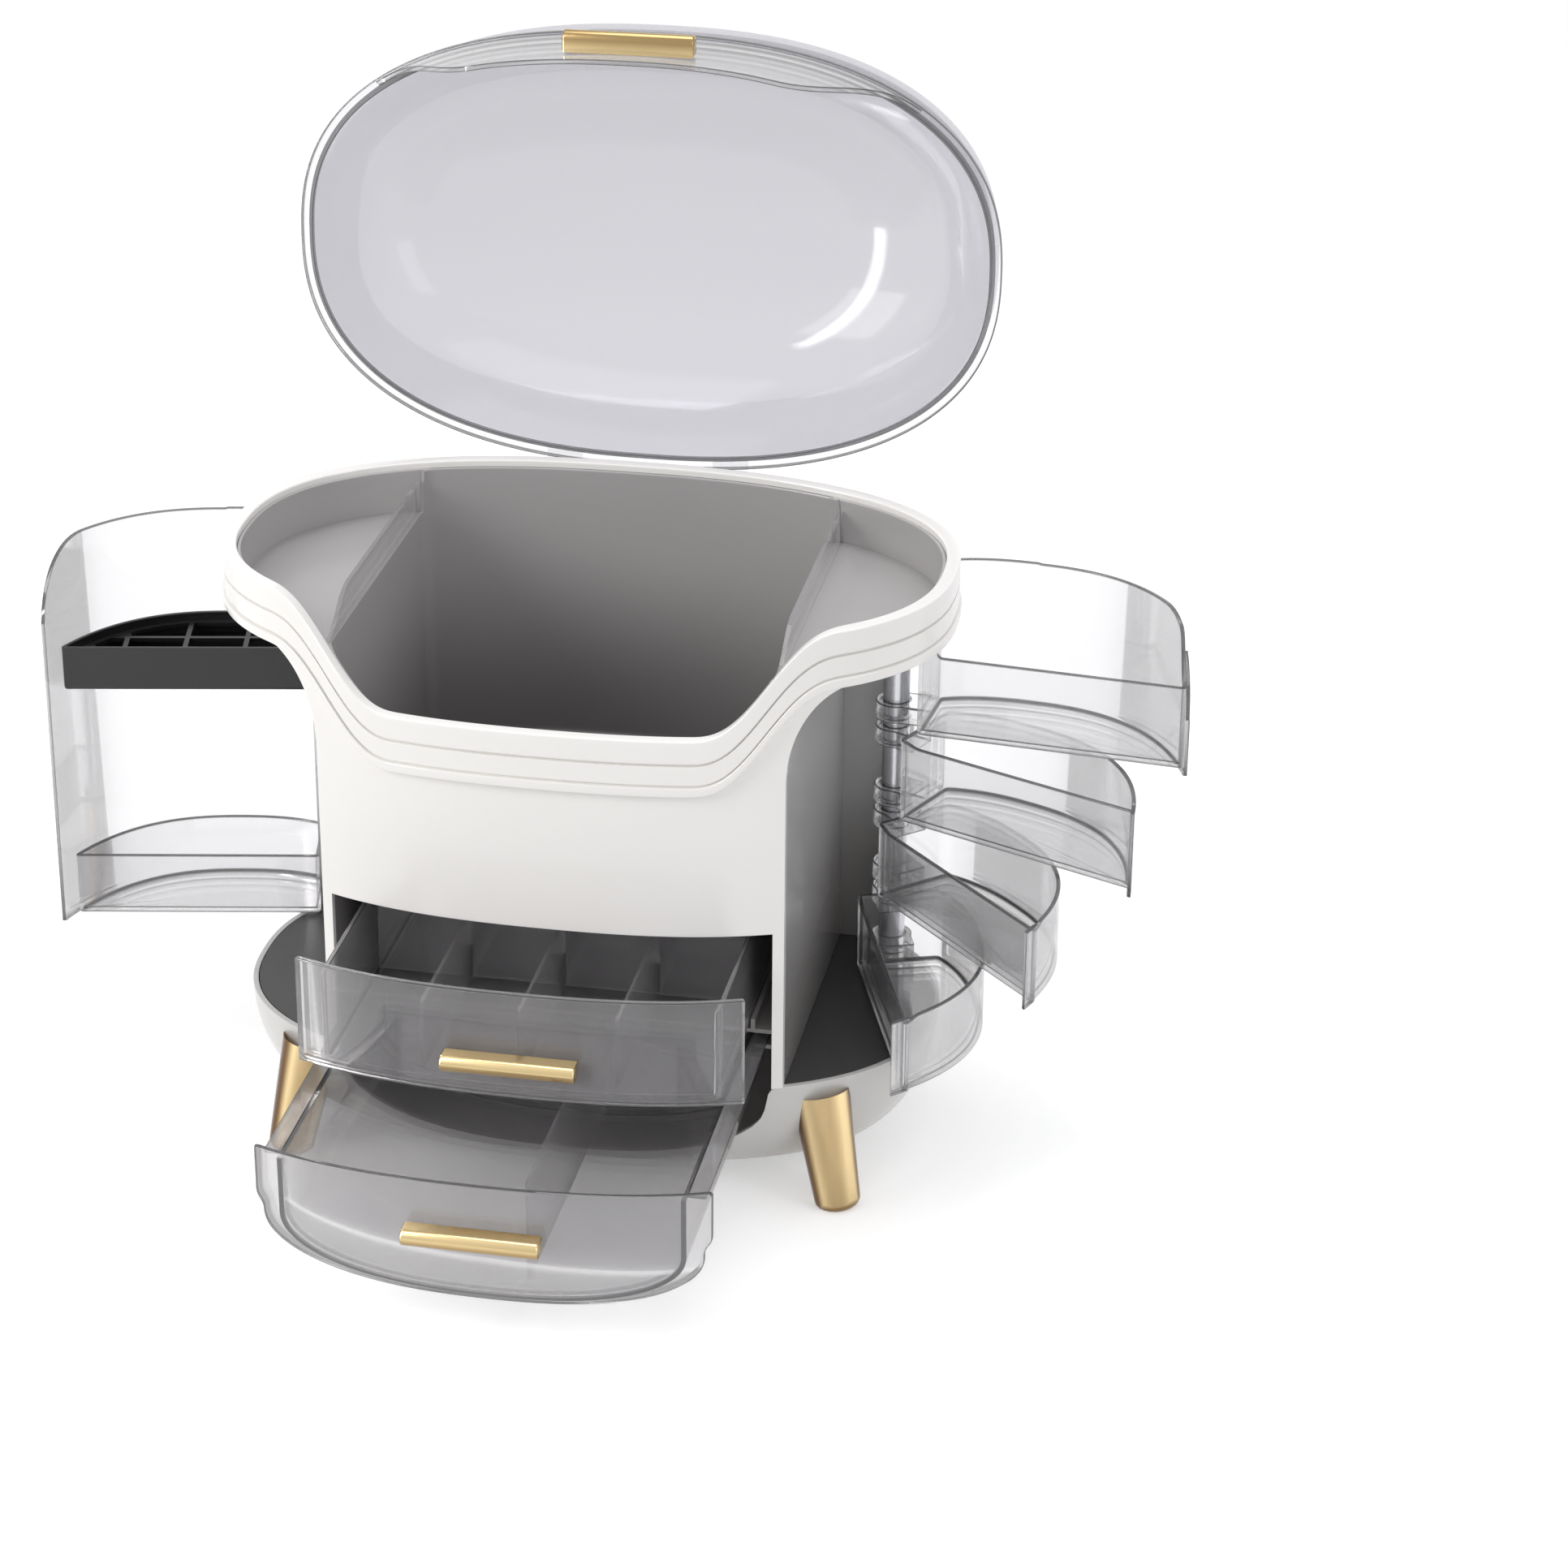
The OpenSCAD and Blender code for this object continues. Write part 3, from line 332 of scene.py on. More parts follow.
def leg_reflection_bands():
    """Painted reflections round a leg and painted shade at its toe: how far the gold's tone goes to its dark, in soft
    bands, each a bell curve of the angle, and most at the toe.
    """
    turn = np.arange(LEG_SIDES) * 360 / LEG_SIDES
    tone = np.zeros(LEG_SIDES)
    bands = ((214, 27, 1.0), (285, 31, 0.55), (2, 19, 0.95), (60, 22, 0.55), (112, 22, 1.0), (153, 12, 0.5))
    for middle, width, depth in bands:
        tone = np.maximum(tone, depth * np.exp(-(((turn - middle + 180) % 360 - 180) / width) ** 4))
    up = np.concatenate([np.zeros(8), np.linspace(0, 0.75, 4), np.ones(8)])[:, None]
    return np.maximum(tone, 0.8 * (1 - up))


def leg_grid(side_x, side_y):
    """A cone widening upwards from a rounded toe, leant over, cut at the table and ended on the bowl's surface."""
    turn = np.radians(np.arange(LEG_SIDES) * 360 / LEG_SIDES)
    tilt_x, tilt_y = np.radians([side_y * LEAN * 0.7, -side_x * LEAN])
    spin = np.array(Matrix.Rotation(tilt_y, 3, "Y") @ Matrix.Rotation(tilt_x, 3, "X"))

    def at(run, radius):
        """The ring of a radius at a distance along the leaning leg."""
        local = np.stack([radius * np.cos(turn), radius * np.sin(turn), run * np.ones_like(turn) - 2.0], -1)
        return local @ spin.T + (side_x * FOOT_X, side_y * FOOT_Y, -FOOT_DROP)

    def inside(p):
        """Whether points lie in the bowl: in its oval at their height, drawn in by the quarter ellipse."""
        inset = bowl_inset(p[..., 2])
        reach = (np.abs(p[..., 0]) / (BODY_A - inset)) ** PLAN + (np.abs(p[..., 1]) / (BODY_B - inset)) ** PLAN
        return (p[..., 2] > 0) & (reach < 1)

    low, high = np.zeros(LEG_SIDES), np.full(LEG_SIDES, LEG_REACH)
    for _ in range(24):
        middle = (low + high) / 2
        hit = inside(at(middle, leg_radius(middle)))
        low, high = np.where(hit, low, middle), np.where(hit, middle, high)
    toe = np.radians(np.linspace(-90, 0, 12))
    rows = [at(TOE * (1 + np.sin(q)), leg_radius(TOE) - TOE * (1 - np.cos(q))) for q in toe]
    rows += [at(TOE + (high + 0.3 - TOE) * s, leg_radius(TOE + (high - TOE) * s)) for s in np.linspace(0, 1, 9)[1:]]
    grid = np.stack(rows)
    grid[..., 2] = np.maximum(grid[..., 2], -FOOT_DROP)
    return grid


# The legs' dark gold tone is painted: reflection bands round each leg and shade at the toe.
leg_gold = gold("leg_gold", (0.86, 0.67, 0.37), 0.14, deep=(0.13, 0.06, 0.018))
LEGS = ("front_left", -1, -1), ("front_right", 1, -1), ("rear_left", -1, 1), ("rear_right", 1, 1)
for name, side_x, side_y in LEGS:
    grid = leg_grid(side_x, side_y)
    ends = [grid[k].mean(0) for k in (0, -1)]
    ends[0][2] = -FOOT_DROP
    add_piece("leg_gold_" + name, ("cabinet", "leg_" + name, "gold", leg_gold), grid, leg_reflection_bands(), ends)

# Side decks and inner walls: dark floor plates beside the drawers, grey partitions, and the shelf and rails that
# carry the two drawers. They are plain flat plates, so the solid model's own shapes are kept.


def finish_nodes(names, material):
    """Gives nodes of the solid model, whose own shapes are kept, their finish."""
    for name in names:
        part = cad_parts[name]
        part.data.materials.clear()
        part.data.materials.append(material)


deck_grey = plastic("deck_grey", (0.065, 0.064, 0.065), 0.34)
# The partitions, shelf and rails carry painted shade that darkens them towards the bottom of the cabinet.
wall_grey = plastic("wall_grey", (0.50, 0.49, 0.49), 0.2, coat=0.3, painted_shade_below=((0.26, 0.25, 0.24), 0.06, 0.2))
finish_nodes(("side_deck_left", "side_deck_right"), deck_grey)
finish_nodes(("partition_left", "partition_right", "middle_shelf", "drawer_rails"), wall_grey)

# Back shell: the white wall that closes the back between the two pivot posts. It stands on the bowl's upper edge and
# ends under the rim band.
SHELL_LOW, BAND_Z, FIT, TOP = 58.2, 262.0, 0.2, 1000.0
white_gloss = plastic("white_gloss", (0.90, 0.88, 0.855), 0.22, coat=0.35)


def section(corners, near=1.8):
    """A closed outline from corners given as (inset, level, radius), each rounded by a short parabola. Levels above
    500 count from the upper edge, at 1000. Every point carries 1 at a corner and 0 in the open run between two."""
    turns = 4
    corner = np.array(corners, float)
    before, after = np.roll(corner, 1, 0) - corner, np.roll(corner, -1, 0) - corner
    out = []
    for k, (inset, level, radius) in enumerate(corner):
        backward, forward = (v[k, :2] / max(np.linalg.norm(v[k, :2]), 1e-9) for v in (before, after))
        here = np.array([inset, level])
        u = np.linspace(0, 1, turns + 1)[:, None] if radius > 0 else np.zeros((1, 1))
        bend = (1 - u) ** 2 * (here + backward * radius) + 2 * u * (1 - u) * here + u**2 * (here + forward * radius)
        mark = 4 * u * (1 - u) if radius > 1.5 else np.ones_like(u)
        out += [(*p, float(m)) for p, m in zip(bend, mark[:, 0])]
        room = np.linalg.norm(after[k, :2]) - radius - corner[(k + 1) % len(corner), 2]
        if room > 3 * near:
            out += [(*(here + forward * (radius + near)), 0.0), (*(here + forward * (radius + room - near)), 0.0)]
    return np.array(out)


def box_section(thick, radius=0.6, near=1.8):
    """A rectangle of a wall's thickness from its lower to its upper edge, with rounded corners."""
    return section([(0, 0, radius), (0, TOP, radius), (thick, TOP, radius), (thick, 0, radius)], near=near)


def oval_ring(unit, a, b):
    """A function from insets to rings: the oval of half sizes a and b, each less the inset."""
    return lambda inset: np.stack([(a - inset) * unit[:, 0], (b - inset) * unit[:, 1]], -1)


def swept(ring, outline, low, high):
    """A wall: the outline carried along a plan, its levels measured from the lower and upper edge of each point and
    kept on their own side of its middle. Either edge may be a function of the points in the plan."""
    rows = []
    for inset, level, _ in outline:
        flat = ring(inset)
        bottom, top = (line(flat) if callable(line) else line for line in (low, high))
        middle = (bottom + top) / 2
        height = np.where(level < TOP / 2, np.minimum(bottom + level, middle), np.maximum(top + level - TOP, middle))
        rows.append(np.column_stack([flat, np.broadcast_to(height, len(flat))]))
    return np.stack(rows), outline[:, 2:3]


def angle_at_x(x, a, side=-1):
    """The oval's parameter in degrees where it crosses x, on the front (side -1) or on the back (side 1)."""
    return side * np.degrees(np.arccos(power(x / a, PLAN / 2)))


def oval_part(a, b, x0, x1, side, count):
    """Unit points of an oval's front (side -1) or back (side 1) between two values of x."""
    return oval_path(a, b, count, angle_at_x(x0, a, side), angle_at_x(x1, a, side)) / (a, b)


PIVOT_X, PIVOT_Y = 138.0, 61.0348
BACK_HALF = PIVOT_X - 4.04
behind = oval_part(BODY_A, BODY_B, BACK_HALF, -BACK_HALF, 1, 160)
grid, edge = swept(oval_ring(behind, BODY_A, BODY_B), box_section(WALL), SHELL_LOW, BAND_Z - FIT)
add_piece("back_shell_white", ("cabinet", "back_shell", "gloss_white", white_gloss), grid, edge)

# Upper shell: the rim band with its low, S-curved front edge, a bead under it and a shallow groove near its top, over
# a thinner front panel whose ends curve up round the side windows and run down as posts beside the drawers.
RIM_A, RIM_B, BAND_H, SEAM_Z = 174.0, 109.5, 27.5, 289.5
WINDOW_TOP, WINDOW_RX, WINDOW_RZ = 261.6, 30, 46
LIP_Z, LIP_HALF, SWOOP_HALF = 240.0, 68.0, 136.0
PANEL_HALF, BAY_HALF, PANEL_Z = 110.5, 105.5, 140.0


def oval_depth(x, a, b):
    """Half depth of the oval of half sizes a and b at a distance x from its middle."""
    return b * np.clip(1 - (np.abs(x) / a) ** PLAN, 0, 1) ** (1 / PLAN)


def ease(u):
    """A smooth step from 0 to 1 that starts and ends level and straight: 6u^5 - 15u^4 + 10u^3."""
    u = np.clip(u, 0, 1)
    return u**3 * (u * (6 * u - 15) + 10)


def rim_edge(x):
    """Height of the front edge at x: low in the middle, rising in an S to the seam at the sides."""
    return LIP_Z + (SEAM_Z - LIP_Z) * ease((np.abs(x) - LIP_HALF) / (SWOOP_HALF - LIP_HALF))


def window_top(x):
    """Height of the side window's upper corner at x: a quarter ellipse from the post up to the band."""
    across = np.clip(1 - (np.abs(x) - PANEL_HALF) / WINDOW_RX, 0, 1)
    return WINDOW_TOP - WINDOW_RZ * (1 - np.sqrt(1 - across**2))


shell_home = "cabinet", "upper_shell", "gloss_white", white_gloss
rim_unit = oval_path(RIM_A, RIM_B, 760) / (RIM_A, RIM_B)


def band_top(flat):
    """Height of the rim over points of the plan: the S-curved edge in front, level behind."""
    return np.where(flat[:, 1] < 0, rim_edge(flat[:, 0]), SEAM_Z)


band_outline = section([
    (-1, 0, 0.8), (-1, 4.6, 0.6), (1.2, 4.8, 0.15), (1.2, 5.7, 0.15), (0, 5.8, 0.2),
    (0, TOP - 12.5, 0.15), (1.7, TOP - 12.4, 0.15), (1.7, TOP - 11.2, 0.15), (0, TOP - 11.1, 0.15),
    (0, TOP, 0.9), (6.5, TOP, 0.9), (6.5, 0, 0.8),
])
grid, edge = swept(oval_ring(rim_unit, RIM_A, RIM_B), band_outline, lambda flat: band_top(flat) - BAND_H, band_top)
add_piece("rim_band_white", shell_home, grid, edge, ring=True)


def panel_ring(inset):
    """The front panel's plan at fixed stations in x: the oval's front, whose half sizes are less by the inset."""
    return np.column_stack([stations, -oval_depth(stations, PANEL_A - inset, PANEL_B - inset)])


PANEL_A, PANEL_B, PANEL_END, step = 171.5, 107.0, 140.4, 0.02
stations = np.concatenate([
    np.linspace(-PANEL_END, -PANEL_HALF - step, 40), np.linspace(-PANEL_HALF, -BAY_HALF, 6),
    np.linspace(step - BAY_HALF, BAY_HALF - step, 150), np.linspace(BAY_HALF, PANEL_HALF, 6),
    np.linspace(PANEL_HALF + step, PANEL_END, 40),
])
beside_bay = np.where(np.abs(stations) <= PANEL_HALF, SHELL_LOW, window_top(stations))
panel_low = np.where(np.abs(stations) < BAY_HALF, PANEL_Z, beside_bay)
panel_high = np.maximum(rim_edge(stations) - BAND_H + 6, panel_low + 1.4)
grid, edge = swept(panel_ring, box_section(4.0, 0.5), panel_low, panel_high)
add_piece("front_panel_white", shell_home, grid, edge)

# Top tray: a grey liner that hangs inside the rim band. It has a deep middle well, a shelf on each side of the well
# and a low wall that stands behind the rim.
INNER_A, INNER_B = 167.3, 102.8
TRAY_FLOOR, SHELF_TOP, TRAY_TOP, WELL_HALF, WELL_WALL = 142.0, 265.0, 286.5, 104.0, 2.0
# The liner carries painted shade that darkens it down into the deep well.
well_shade = ((0.21, 0.20, 0.20), 0.15, 0.25)
liner_grey = plastic("liner_grey", (0.42, 0.405, 0.405), 0.3, coat=0.15, mottle=0.04, painted_shade_below=well_shade)


def outward(path, closed):
    """Unit normals of a path in the plan, to the right of its direction, from the points on either side of each."""
    if closed:
        along = np.roll(path, -1, 0) - np.roll(path, 1, 0)
    else:
        along = np.gradient(path, axis=0)
    along /= np.linalg.norm(along, axis=1, keepdims=True)
    return np.column_stack([along[:, 1], -along[:, 0]])


def offset_ring(path, closed=True):
    """A function from insets to rings: a path moved inwards along its own normals."""
    normal = outward(path, closed)
    return lambda inset: path - inset * normal


def rounded_path(points, radii, spacing=1.6):
    """A closed path through points, each corner rounded by a parabola, in even steps. Points of a curve that lie
    within a corner's radius are left out."""
    points, radii = np.asarray(points, float), np.asarray(radii, float)
    turns = radii > 0
    if turns.any():
        reach = np.linalg.norm(points[:, None] - points[turns], axis=2) - radii[turns]
        kept = turns | (reach.min(1) > 0.3)
        points, radii = points[kept], radii[kept]
    out = []
    for k, radius in enumerate(radii):
        here = points[k]
        if radius == 0:
            out.append(here)
            continue
        backward, forward = points[k - 1] - here, points[(k + 1) % len(points)] - here
        backward, forward = backward / np.linalg.norm(backward) * radius, forward / np.linalg.norm(forward) * radius
        u = np.linspace(0, 1, 9)[:, None]
        out += list((1 - u) ** 2 * (here + backward) + 2 * u * (1 - u) * here + u**2 * (here + forward))
    out = np.array(out + out[:1])
    run = np.concatenate([[0], np.cumsum(np.linalg.norm(np.diff(out, axis=0), axis=1))])
    at = np.linspace(0, run[-1], max(int(run[-1] / spacing), 24) + 1)[:-1]
    return np.column_stack([np.interp(at, run, out[:, k]) for k in (0, 1)])


def capped(grid, edge, pole, spread, low, high):
    """A grid whose first and last rows are drawn in towards a pole by each of some shares, at two levels. Gives the
    grid, the edge weights and the two poles."""
    caps = []
    for row, shares, level in ((grid[0], spread, low), (grid[-1], spread[::-1], high)):
        flat = (row[:, :2] - pole) * shares[:, None, None] + pole
        caps.append(np.concatenate([flat, np.full(flat.shape[:2] + (1,), level)], -1))
    weights = np.pad(edge, ((len(spread),) * 2, (0, 0)))
    return np.concatenate([caps[0], grid, caps[1]]), weights, ((*pole, low), (*pole, high))


def vessel(ring, low, high, thick, floor, radius, rim=0.7, pole=(0, 0), near=1.8):
    """An open pan: up the outside from the middle of its underside, over the rounded rim and down the inside to the
    middle of its floor."""
    across, spread = 60.0, np.linspace(0.15, 0.97, 5)
    outside = [(0, 0, radius), (0, TOP, rim), (thick, TOP, rim)]
    inside = [(thick, floor, max(radius - thick, 0.8)), (across, floor, 0), (across, 0, 0)]
    outline = section(outside + inside, near=near)
    outline = np.roll(outline[outline[:, 0] < across / 2], 1, 0)
    grid, edge = swept(ring, outline, low, high)
    return capped(grid, edge, np.array(pole, float), spread, grid[0, 0, 2], grid[-1, 0, 2])


def slab(path, low, high, radius=0.5, pole=None):
    """A flat plate: the middle of its underside, out to its rounded edge, and back over the top."""
    pole = path.mean(0) if pole is None else np.array(pole, float)
    grid, edge = swept(offset_ring(path), section([(0, 0, radius), (0, TOP, radius)]), low, high)
    return capped(grid, edge, pole, np.array([0.5, 0.96]), low, high)


def oval_points(a, b, x0, x1, side, count=60):
    """Points of an oval's front or back between two values of x."""
    return oval_part(a, b, x0, x1, side, count) * (a, b)


tray_home = "cabinet", "top_tray", "liner_grey", liner_grey
half = WELL_HALF + 2
front_arc, back_arc = (oval_points(INNER_A, INNER_B, side * half, -side * half, side) for side in (-1, 1))
corners = np.concatenate([front_arc, back_arc])
radii = np.zeros(len(corners))
radii[[0, 59, 60, 119]] = 7.0
well_path = rounded_path(corners, radii, 2.0)
well_front = well_path[:, 1] < 0
side_wall = np.abs(well_path[:, 0]) > half - 1.0
front_high = np.maximum(rim_edge(well_path[:, 0]) - 2.2, 236)
well_high = np.where(side_wall, SHELF_TOP, np.where(well_front, front_high, TRAY_TOP))
well_ring = offset_ring(well_path)
grid, edge, poles = vessel(well_ring, TRAY_FLOOR, well_high, WELL_WALL, WELL_WALL, radius=5.0, near=0.8)
add_piece("tray_well", tray_home, grid, edge, poles)

tray_unit = oval_path(INNER_A, INNER_B, 600) / (INNER_A, INNER_B)
at_x = tray_unit[:, 0] * INNER_A
wall_high = np.where(tray_unit[:, 1] < 0, np.minimum(rim_edge(at_x) - 2, TRAY_TOP), TRAY_TOP)
wall_low = np.minimum(SHELF_TOP - 2, wall_high - 12)
# The low wall is thinner than the well's, so that no face of it lies in the well's own.
grid, edge = swept(oval_ring(tray_unit, INNER_A, INNER_B), box_section(1.6, 0.5), wall_low, wall_high)
add_piece("tray_wall", tray_home, grid, edge, ring=True)

shelf_a, shelf_b = INNER_A - 0.3, INNER_B - 0.3
shelf_ends = [angle_at_x(half - 1, shelf_a, side) for side in (-1, 1)]
for word, side in (("left", -1), ("right", 1)):
    arc = oval_path(shelf_a, shelf_b, 120, *shelf_ends)
    arc = arc if side > 0 else arc[::-1] * (-1, 1)
    grid, edge, poles = slab(rounded_path(arc, np.zeros(len(arc))), SHELF_TOP - 2, SHELF_TOP, 0.4, (side * 135, 0))
    add_piece("tray_shelf_" + word, tray_home, grid, edge, poles)

# Tray dividers: a clear upright plate beside each shelf, slotted into the tray, with its front corner cut down to
# clear the curved edge. The lid's hinge leaves are the same clear plastic.


def clear_plastic(name, tint, veil, line, veil_share, painted_line_share, facing_share=0.1, shine=0.7):
    """Clear plastic: what is behind shows through a slight tint under a thin milky veil that grows towards grazing
    views. Corners and rims carry a painted dark line that stands in for the darkening that reflection and refraction
    give there. The surface reflects by its angle, with a faint waviness."""
    made, tree, body = new_material(name)
    place = add_node(tree, "TexCoord").outputs["Object"]
    drift = add_node(tree, "TexNoise", {"Scale": 7.0}, {"Vector": place}).outputs["Fac"]
    painted_line_weight = add_node(tree, "Attribute")
    painted_line_weight.attribute_name = "edge"
    rim = painted_line_weight.outputs["Fac"]
    drawn = add_node(tree, "Mix", {"B": (*line, 1)}, {"Factor": rim, "A": two_tones(tree, veil, 0.96, 1.03, drift)})
    tree.links.new(drawn.outputs["Result"], body.inputs["Base Color"])
    body.inputs["Roughness"].default_value = 0.12
    wave = add_node(tree, "Bump", {"Strength": 0.12, "Distance": 0.002}, {"Height": drift}).outputs["Normal"]
    tree.links.new(wave, body.inputs["Normal"])
    through = add_node(tree, "BsdfTransparent", {"Color": (*tint, 1)})
    slant = add_node(tree, "LayerWeight", {"Blend": 0.3})
    gain = add_node(tree, "Math", {1: painted_line_share, 2: veil_share}, {0: rim})
    gain.operation = "MULTIPLY_ADD"
    share = add_node(tree, "Math", {1: facing_share}, {0: slant.outputs["Facing"], 2: gain.outputs[0]})
    share.operation = "MULTIPLY_ADD"
    share.use_clamp = True
    milky = add_node(tree, "MixShader", sockets={0: share.outputs[0], 1: through.outputs[0], 2: body.outputs[0]})
    gloss = add_node(tree, "BsdfGlossy", {"Roughness": 0.04, "Color": (1, 1, 1, 1)}, {"Normal": wave})
    mirror = add_node(tree, "Math", {1: shine}, {0: slant.outputs["Fresnel"]})
    mirror.operation = "MULTIPLY"
    final = add_node(tree, "MixShader", sockets={0: mirror.outputs[0], 1: milky.outputs[0], 2: gloss.outputs[0]})
    tree.links.new(final.outputs[0], tree.nodes["Material Output"].inputs["Surface"])
    return made


# The third tone of each clear plastic is its painted dark line along rims and corners.
flange_tones = (0.96, 0.96, 0.965), (0.82, 0.81, 0.82), (0.07, 0.07, 0.075)
flange_clear = clear_plastic("flange_clear", *flange_tones, 0.05, 0.75, 0.08)
finish_nodes(("divider_left", "divider_right", "lid_hinge_leaves"), flange_clear)

# Pivots and hinges: two steel posts that the door and the bins turn on, and two white brackets with steel pins that
# carry the lid at the back.
steel = gold("steel", (0.62, 0.63, 0.65), 0.25)
finish_nodes(("pivot_post_left", "pivot_post_right", "lid_hinge_pins"), steel)
finish_nodes(("lid_hinge_bracket_left", "lid_hinge_bracket_right"), white_gloss)

# Lid: one clear dome with a thin flange round its foot and an apron in front that fills the S-curved dip of the rim.
# It stands open, turned back about the hinge line.
LID_Z, FLANGE, FLANGE_OUT, DOME_H, LID_WALL = 290.1, 3.0, 3.5, 104.0, 2.5
HINGE_Y, HINGE_Z, LID_OPEN, GAP = 113.1, 276.5, 91.0, 0.6
# The third tone is the painted dark rim line.
lid_tones = (0.78, 0.775, 0.795), (0.80, 0.79, 0.80), (0.12, 0.12, 0.125)
lid_clear = clear_plastic("lid_clear", *lid_tones, 0.05, 0.7, 0.04, shine=0.28)


def opened(points):
    """Points of the closed lid, turned back about the hinge line."""
    a = np.radians(-LID_OPEN)
    y, z = points[..., 1] - HINGE_Y, points[..., 2] - HINGE_Z
    back, up = np.cos(a) * y - np.sin(a) * z + HINGE_Y, np.sin(a) * y + np.cos(a) * z + HINGE_Z
    return np.stack([points[..., 0], back, up], -1)


def dome_rings(q, wall):
    """Rings of the dome at angles q: the oval shrinks by cos(q)^(2/2.5) while the height grows by sin(q)^(2/2.8)."""
    q = np.radians(q)[:, None]
    scale = np.cos(q) ** (2 / 2.5)
    z = LID_Z + FLANGE / 2 + (DOME_H - FLANGE / 2 - wall) * np.sin(q) ** (2 / 2.8)
    x = (RIM_A - FLANGE_OUT - wall) * scale * rim_unit[:, 0]
    y = (RIM_B - FLANGE_OUT - wall) * scale * rim_unit[:, 1]
    return np.stack([x, y, np.broadcast_to(z, x.shape)], -1)


angles = 90 * (1 - np.linspace(0, 1, 60) ** 1.3)[1:-3]
inside_dome, outside_dome = dome_rings(angles, LID_WALL), dome_rings(angles[::-1], 0.0)
FOOT_IN = FLANGE_OUT + LID_WALL
foot = [(FOOT_IN, 3.7, 0), (FOOT_IN, 2.8, 1), (FLANGE_OUT, 2.8, 1), (FLANGE_OUT, 3.7, 0)]
stand, lines = swept(oval_ring(rim_unit, RIM_A, RIM_B), np.array(foot), LID_Z, LID_Z + TOP)
dome = np.concatenate([inside_dome, stand, outside_dome])
edge = np.concatenate([np.zeros((len(angles), 1)), lines, np.zeros((len(angles), 1))])
crown = [(0, 0, LID_Z + DOME_H - wall) for wall in (LID_WALL, 0)]
add_piece("lid_dome_clear", ("lid", "lid_dome", "clear_lid", lid_clear), dome, edge, crown, move=opened)

plate = section([(0, 0, 0.5), (0, FLANGE, 0.5), (FOOT_IN, FLANGE, 0.4), (FOOT_IN, 0, 0.4)], near=0.5)
grid, edge = swept(oval_ring(rim_unit, RIM_A, RIM_B), plate, LID_Z, LID_Z + TOP)
add_piece("lid_flange_clear", ("lid", "lid_dome", "clear_lid", flange_clear), grid, edge, ring=True, move=opened)


def apron_low(flat):
    """Lower edge of the apron over points of the plan: the rim's S-curve, clear of it by the gap."""
    return rim_edge(flat[:, 0]) + GAP


def apron_high(flat):
    """Upper edge of the apron: the flange's underside, and a little over the lower edge where the two meet."""
    return np.maximum(LID_Z + 0.2, rim_edge(flat[:, 0]) + GAP + 1.2)


APRON_A, APRON_B, APRON_HALF = RIM_A - 1, RIM_B - 1, 133.5
# The third tone is the painted dark rim line.
apron_tones = (0.90, 0.90, 0.905), (0.66, 0.655, 0.66), (0.07, 0.07, 0.075)
apron_clear = clear_plastic("apron_clear", *apron_tones, 0.08, 0.75, 0.3)
apron_unit = oval_part(APRON_A, APRON_B, -APRON_HALF, APRON_HALF, -1, 240)
apron_ring = oval_ring(apron_unit, APRON_A, APRON_B)
grid, edge = swept(apron_ring, box_section(LID_WALL, 0.4, 0.4), apron_low, apron_high)
add_piece("lid_apron_clear", ("lid", "lid_dome", "clear_lid", apron_clear), grid, edge, move=opened)

# Handles: short gold bars with a rounded nose and a flat back, one on the lid's apron and one on each drawer's front.
# Each is one plated moulding, fixed to the face behind it.
BAR_LENGTH, BAR_DEPTH, BAR_HEIGHT, BAR_ROUND = 63.0, 10.0, 8.0, 1.2
nose_angles = np.linspace(90, 270, 25)


def bar(y, z):
    """A bar along X whose section is a half-round nose, two flats and a flat back. Near both ends the section shrinks
    by a sine while x runs on by a cosine, which rounds them."""
    q = np.radians(nose_angles)
    radius = BAR_HEIGHT / 2
    nose = np.column_stack([radius - BAR_DEPTH + radius * np.cos(q), radius * np.sin(q)])
    back = np.array([[0, -4.0], [0, -2.6], [0, 0], [0, 2.6], [0, 4.0]])
    profile = np.concatenate([nose, back])
    middle = np.array([-BAR_DEPTH / 2, 0])
    u = np.linspace(0, 1, 6)
    end = -BAR_LENGTH / 2 + BAR_ROUND * (1 - np.cos(u * np.pi / 2))
    stations = np.concatenate([end, -end[::-1]])
    shrink = np.concatenate([np.sin(u * np.pi / 2), np.sin(u[::-1] * np.pi / 2)])
    scale = 1 - BAR_ROUND / BAR_HEIGHT * 2 * (1 - shrink)
    rows = (profile - middle) * scale[:, None, None] + middle
    x = np.broadcast_to(stations[:, None, None], rows.shape[:2] + (1,))
    return np.concatenate([x, rows], -1) + (0, y, z)


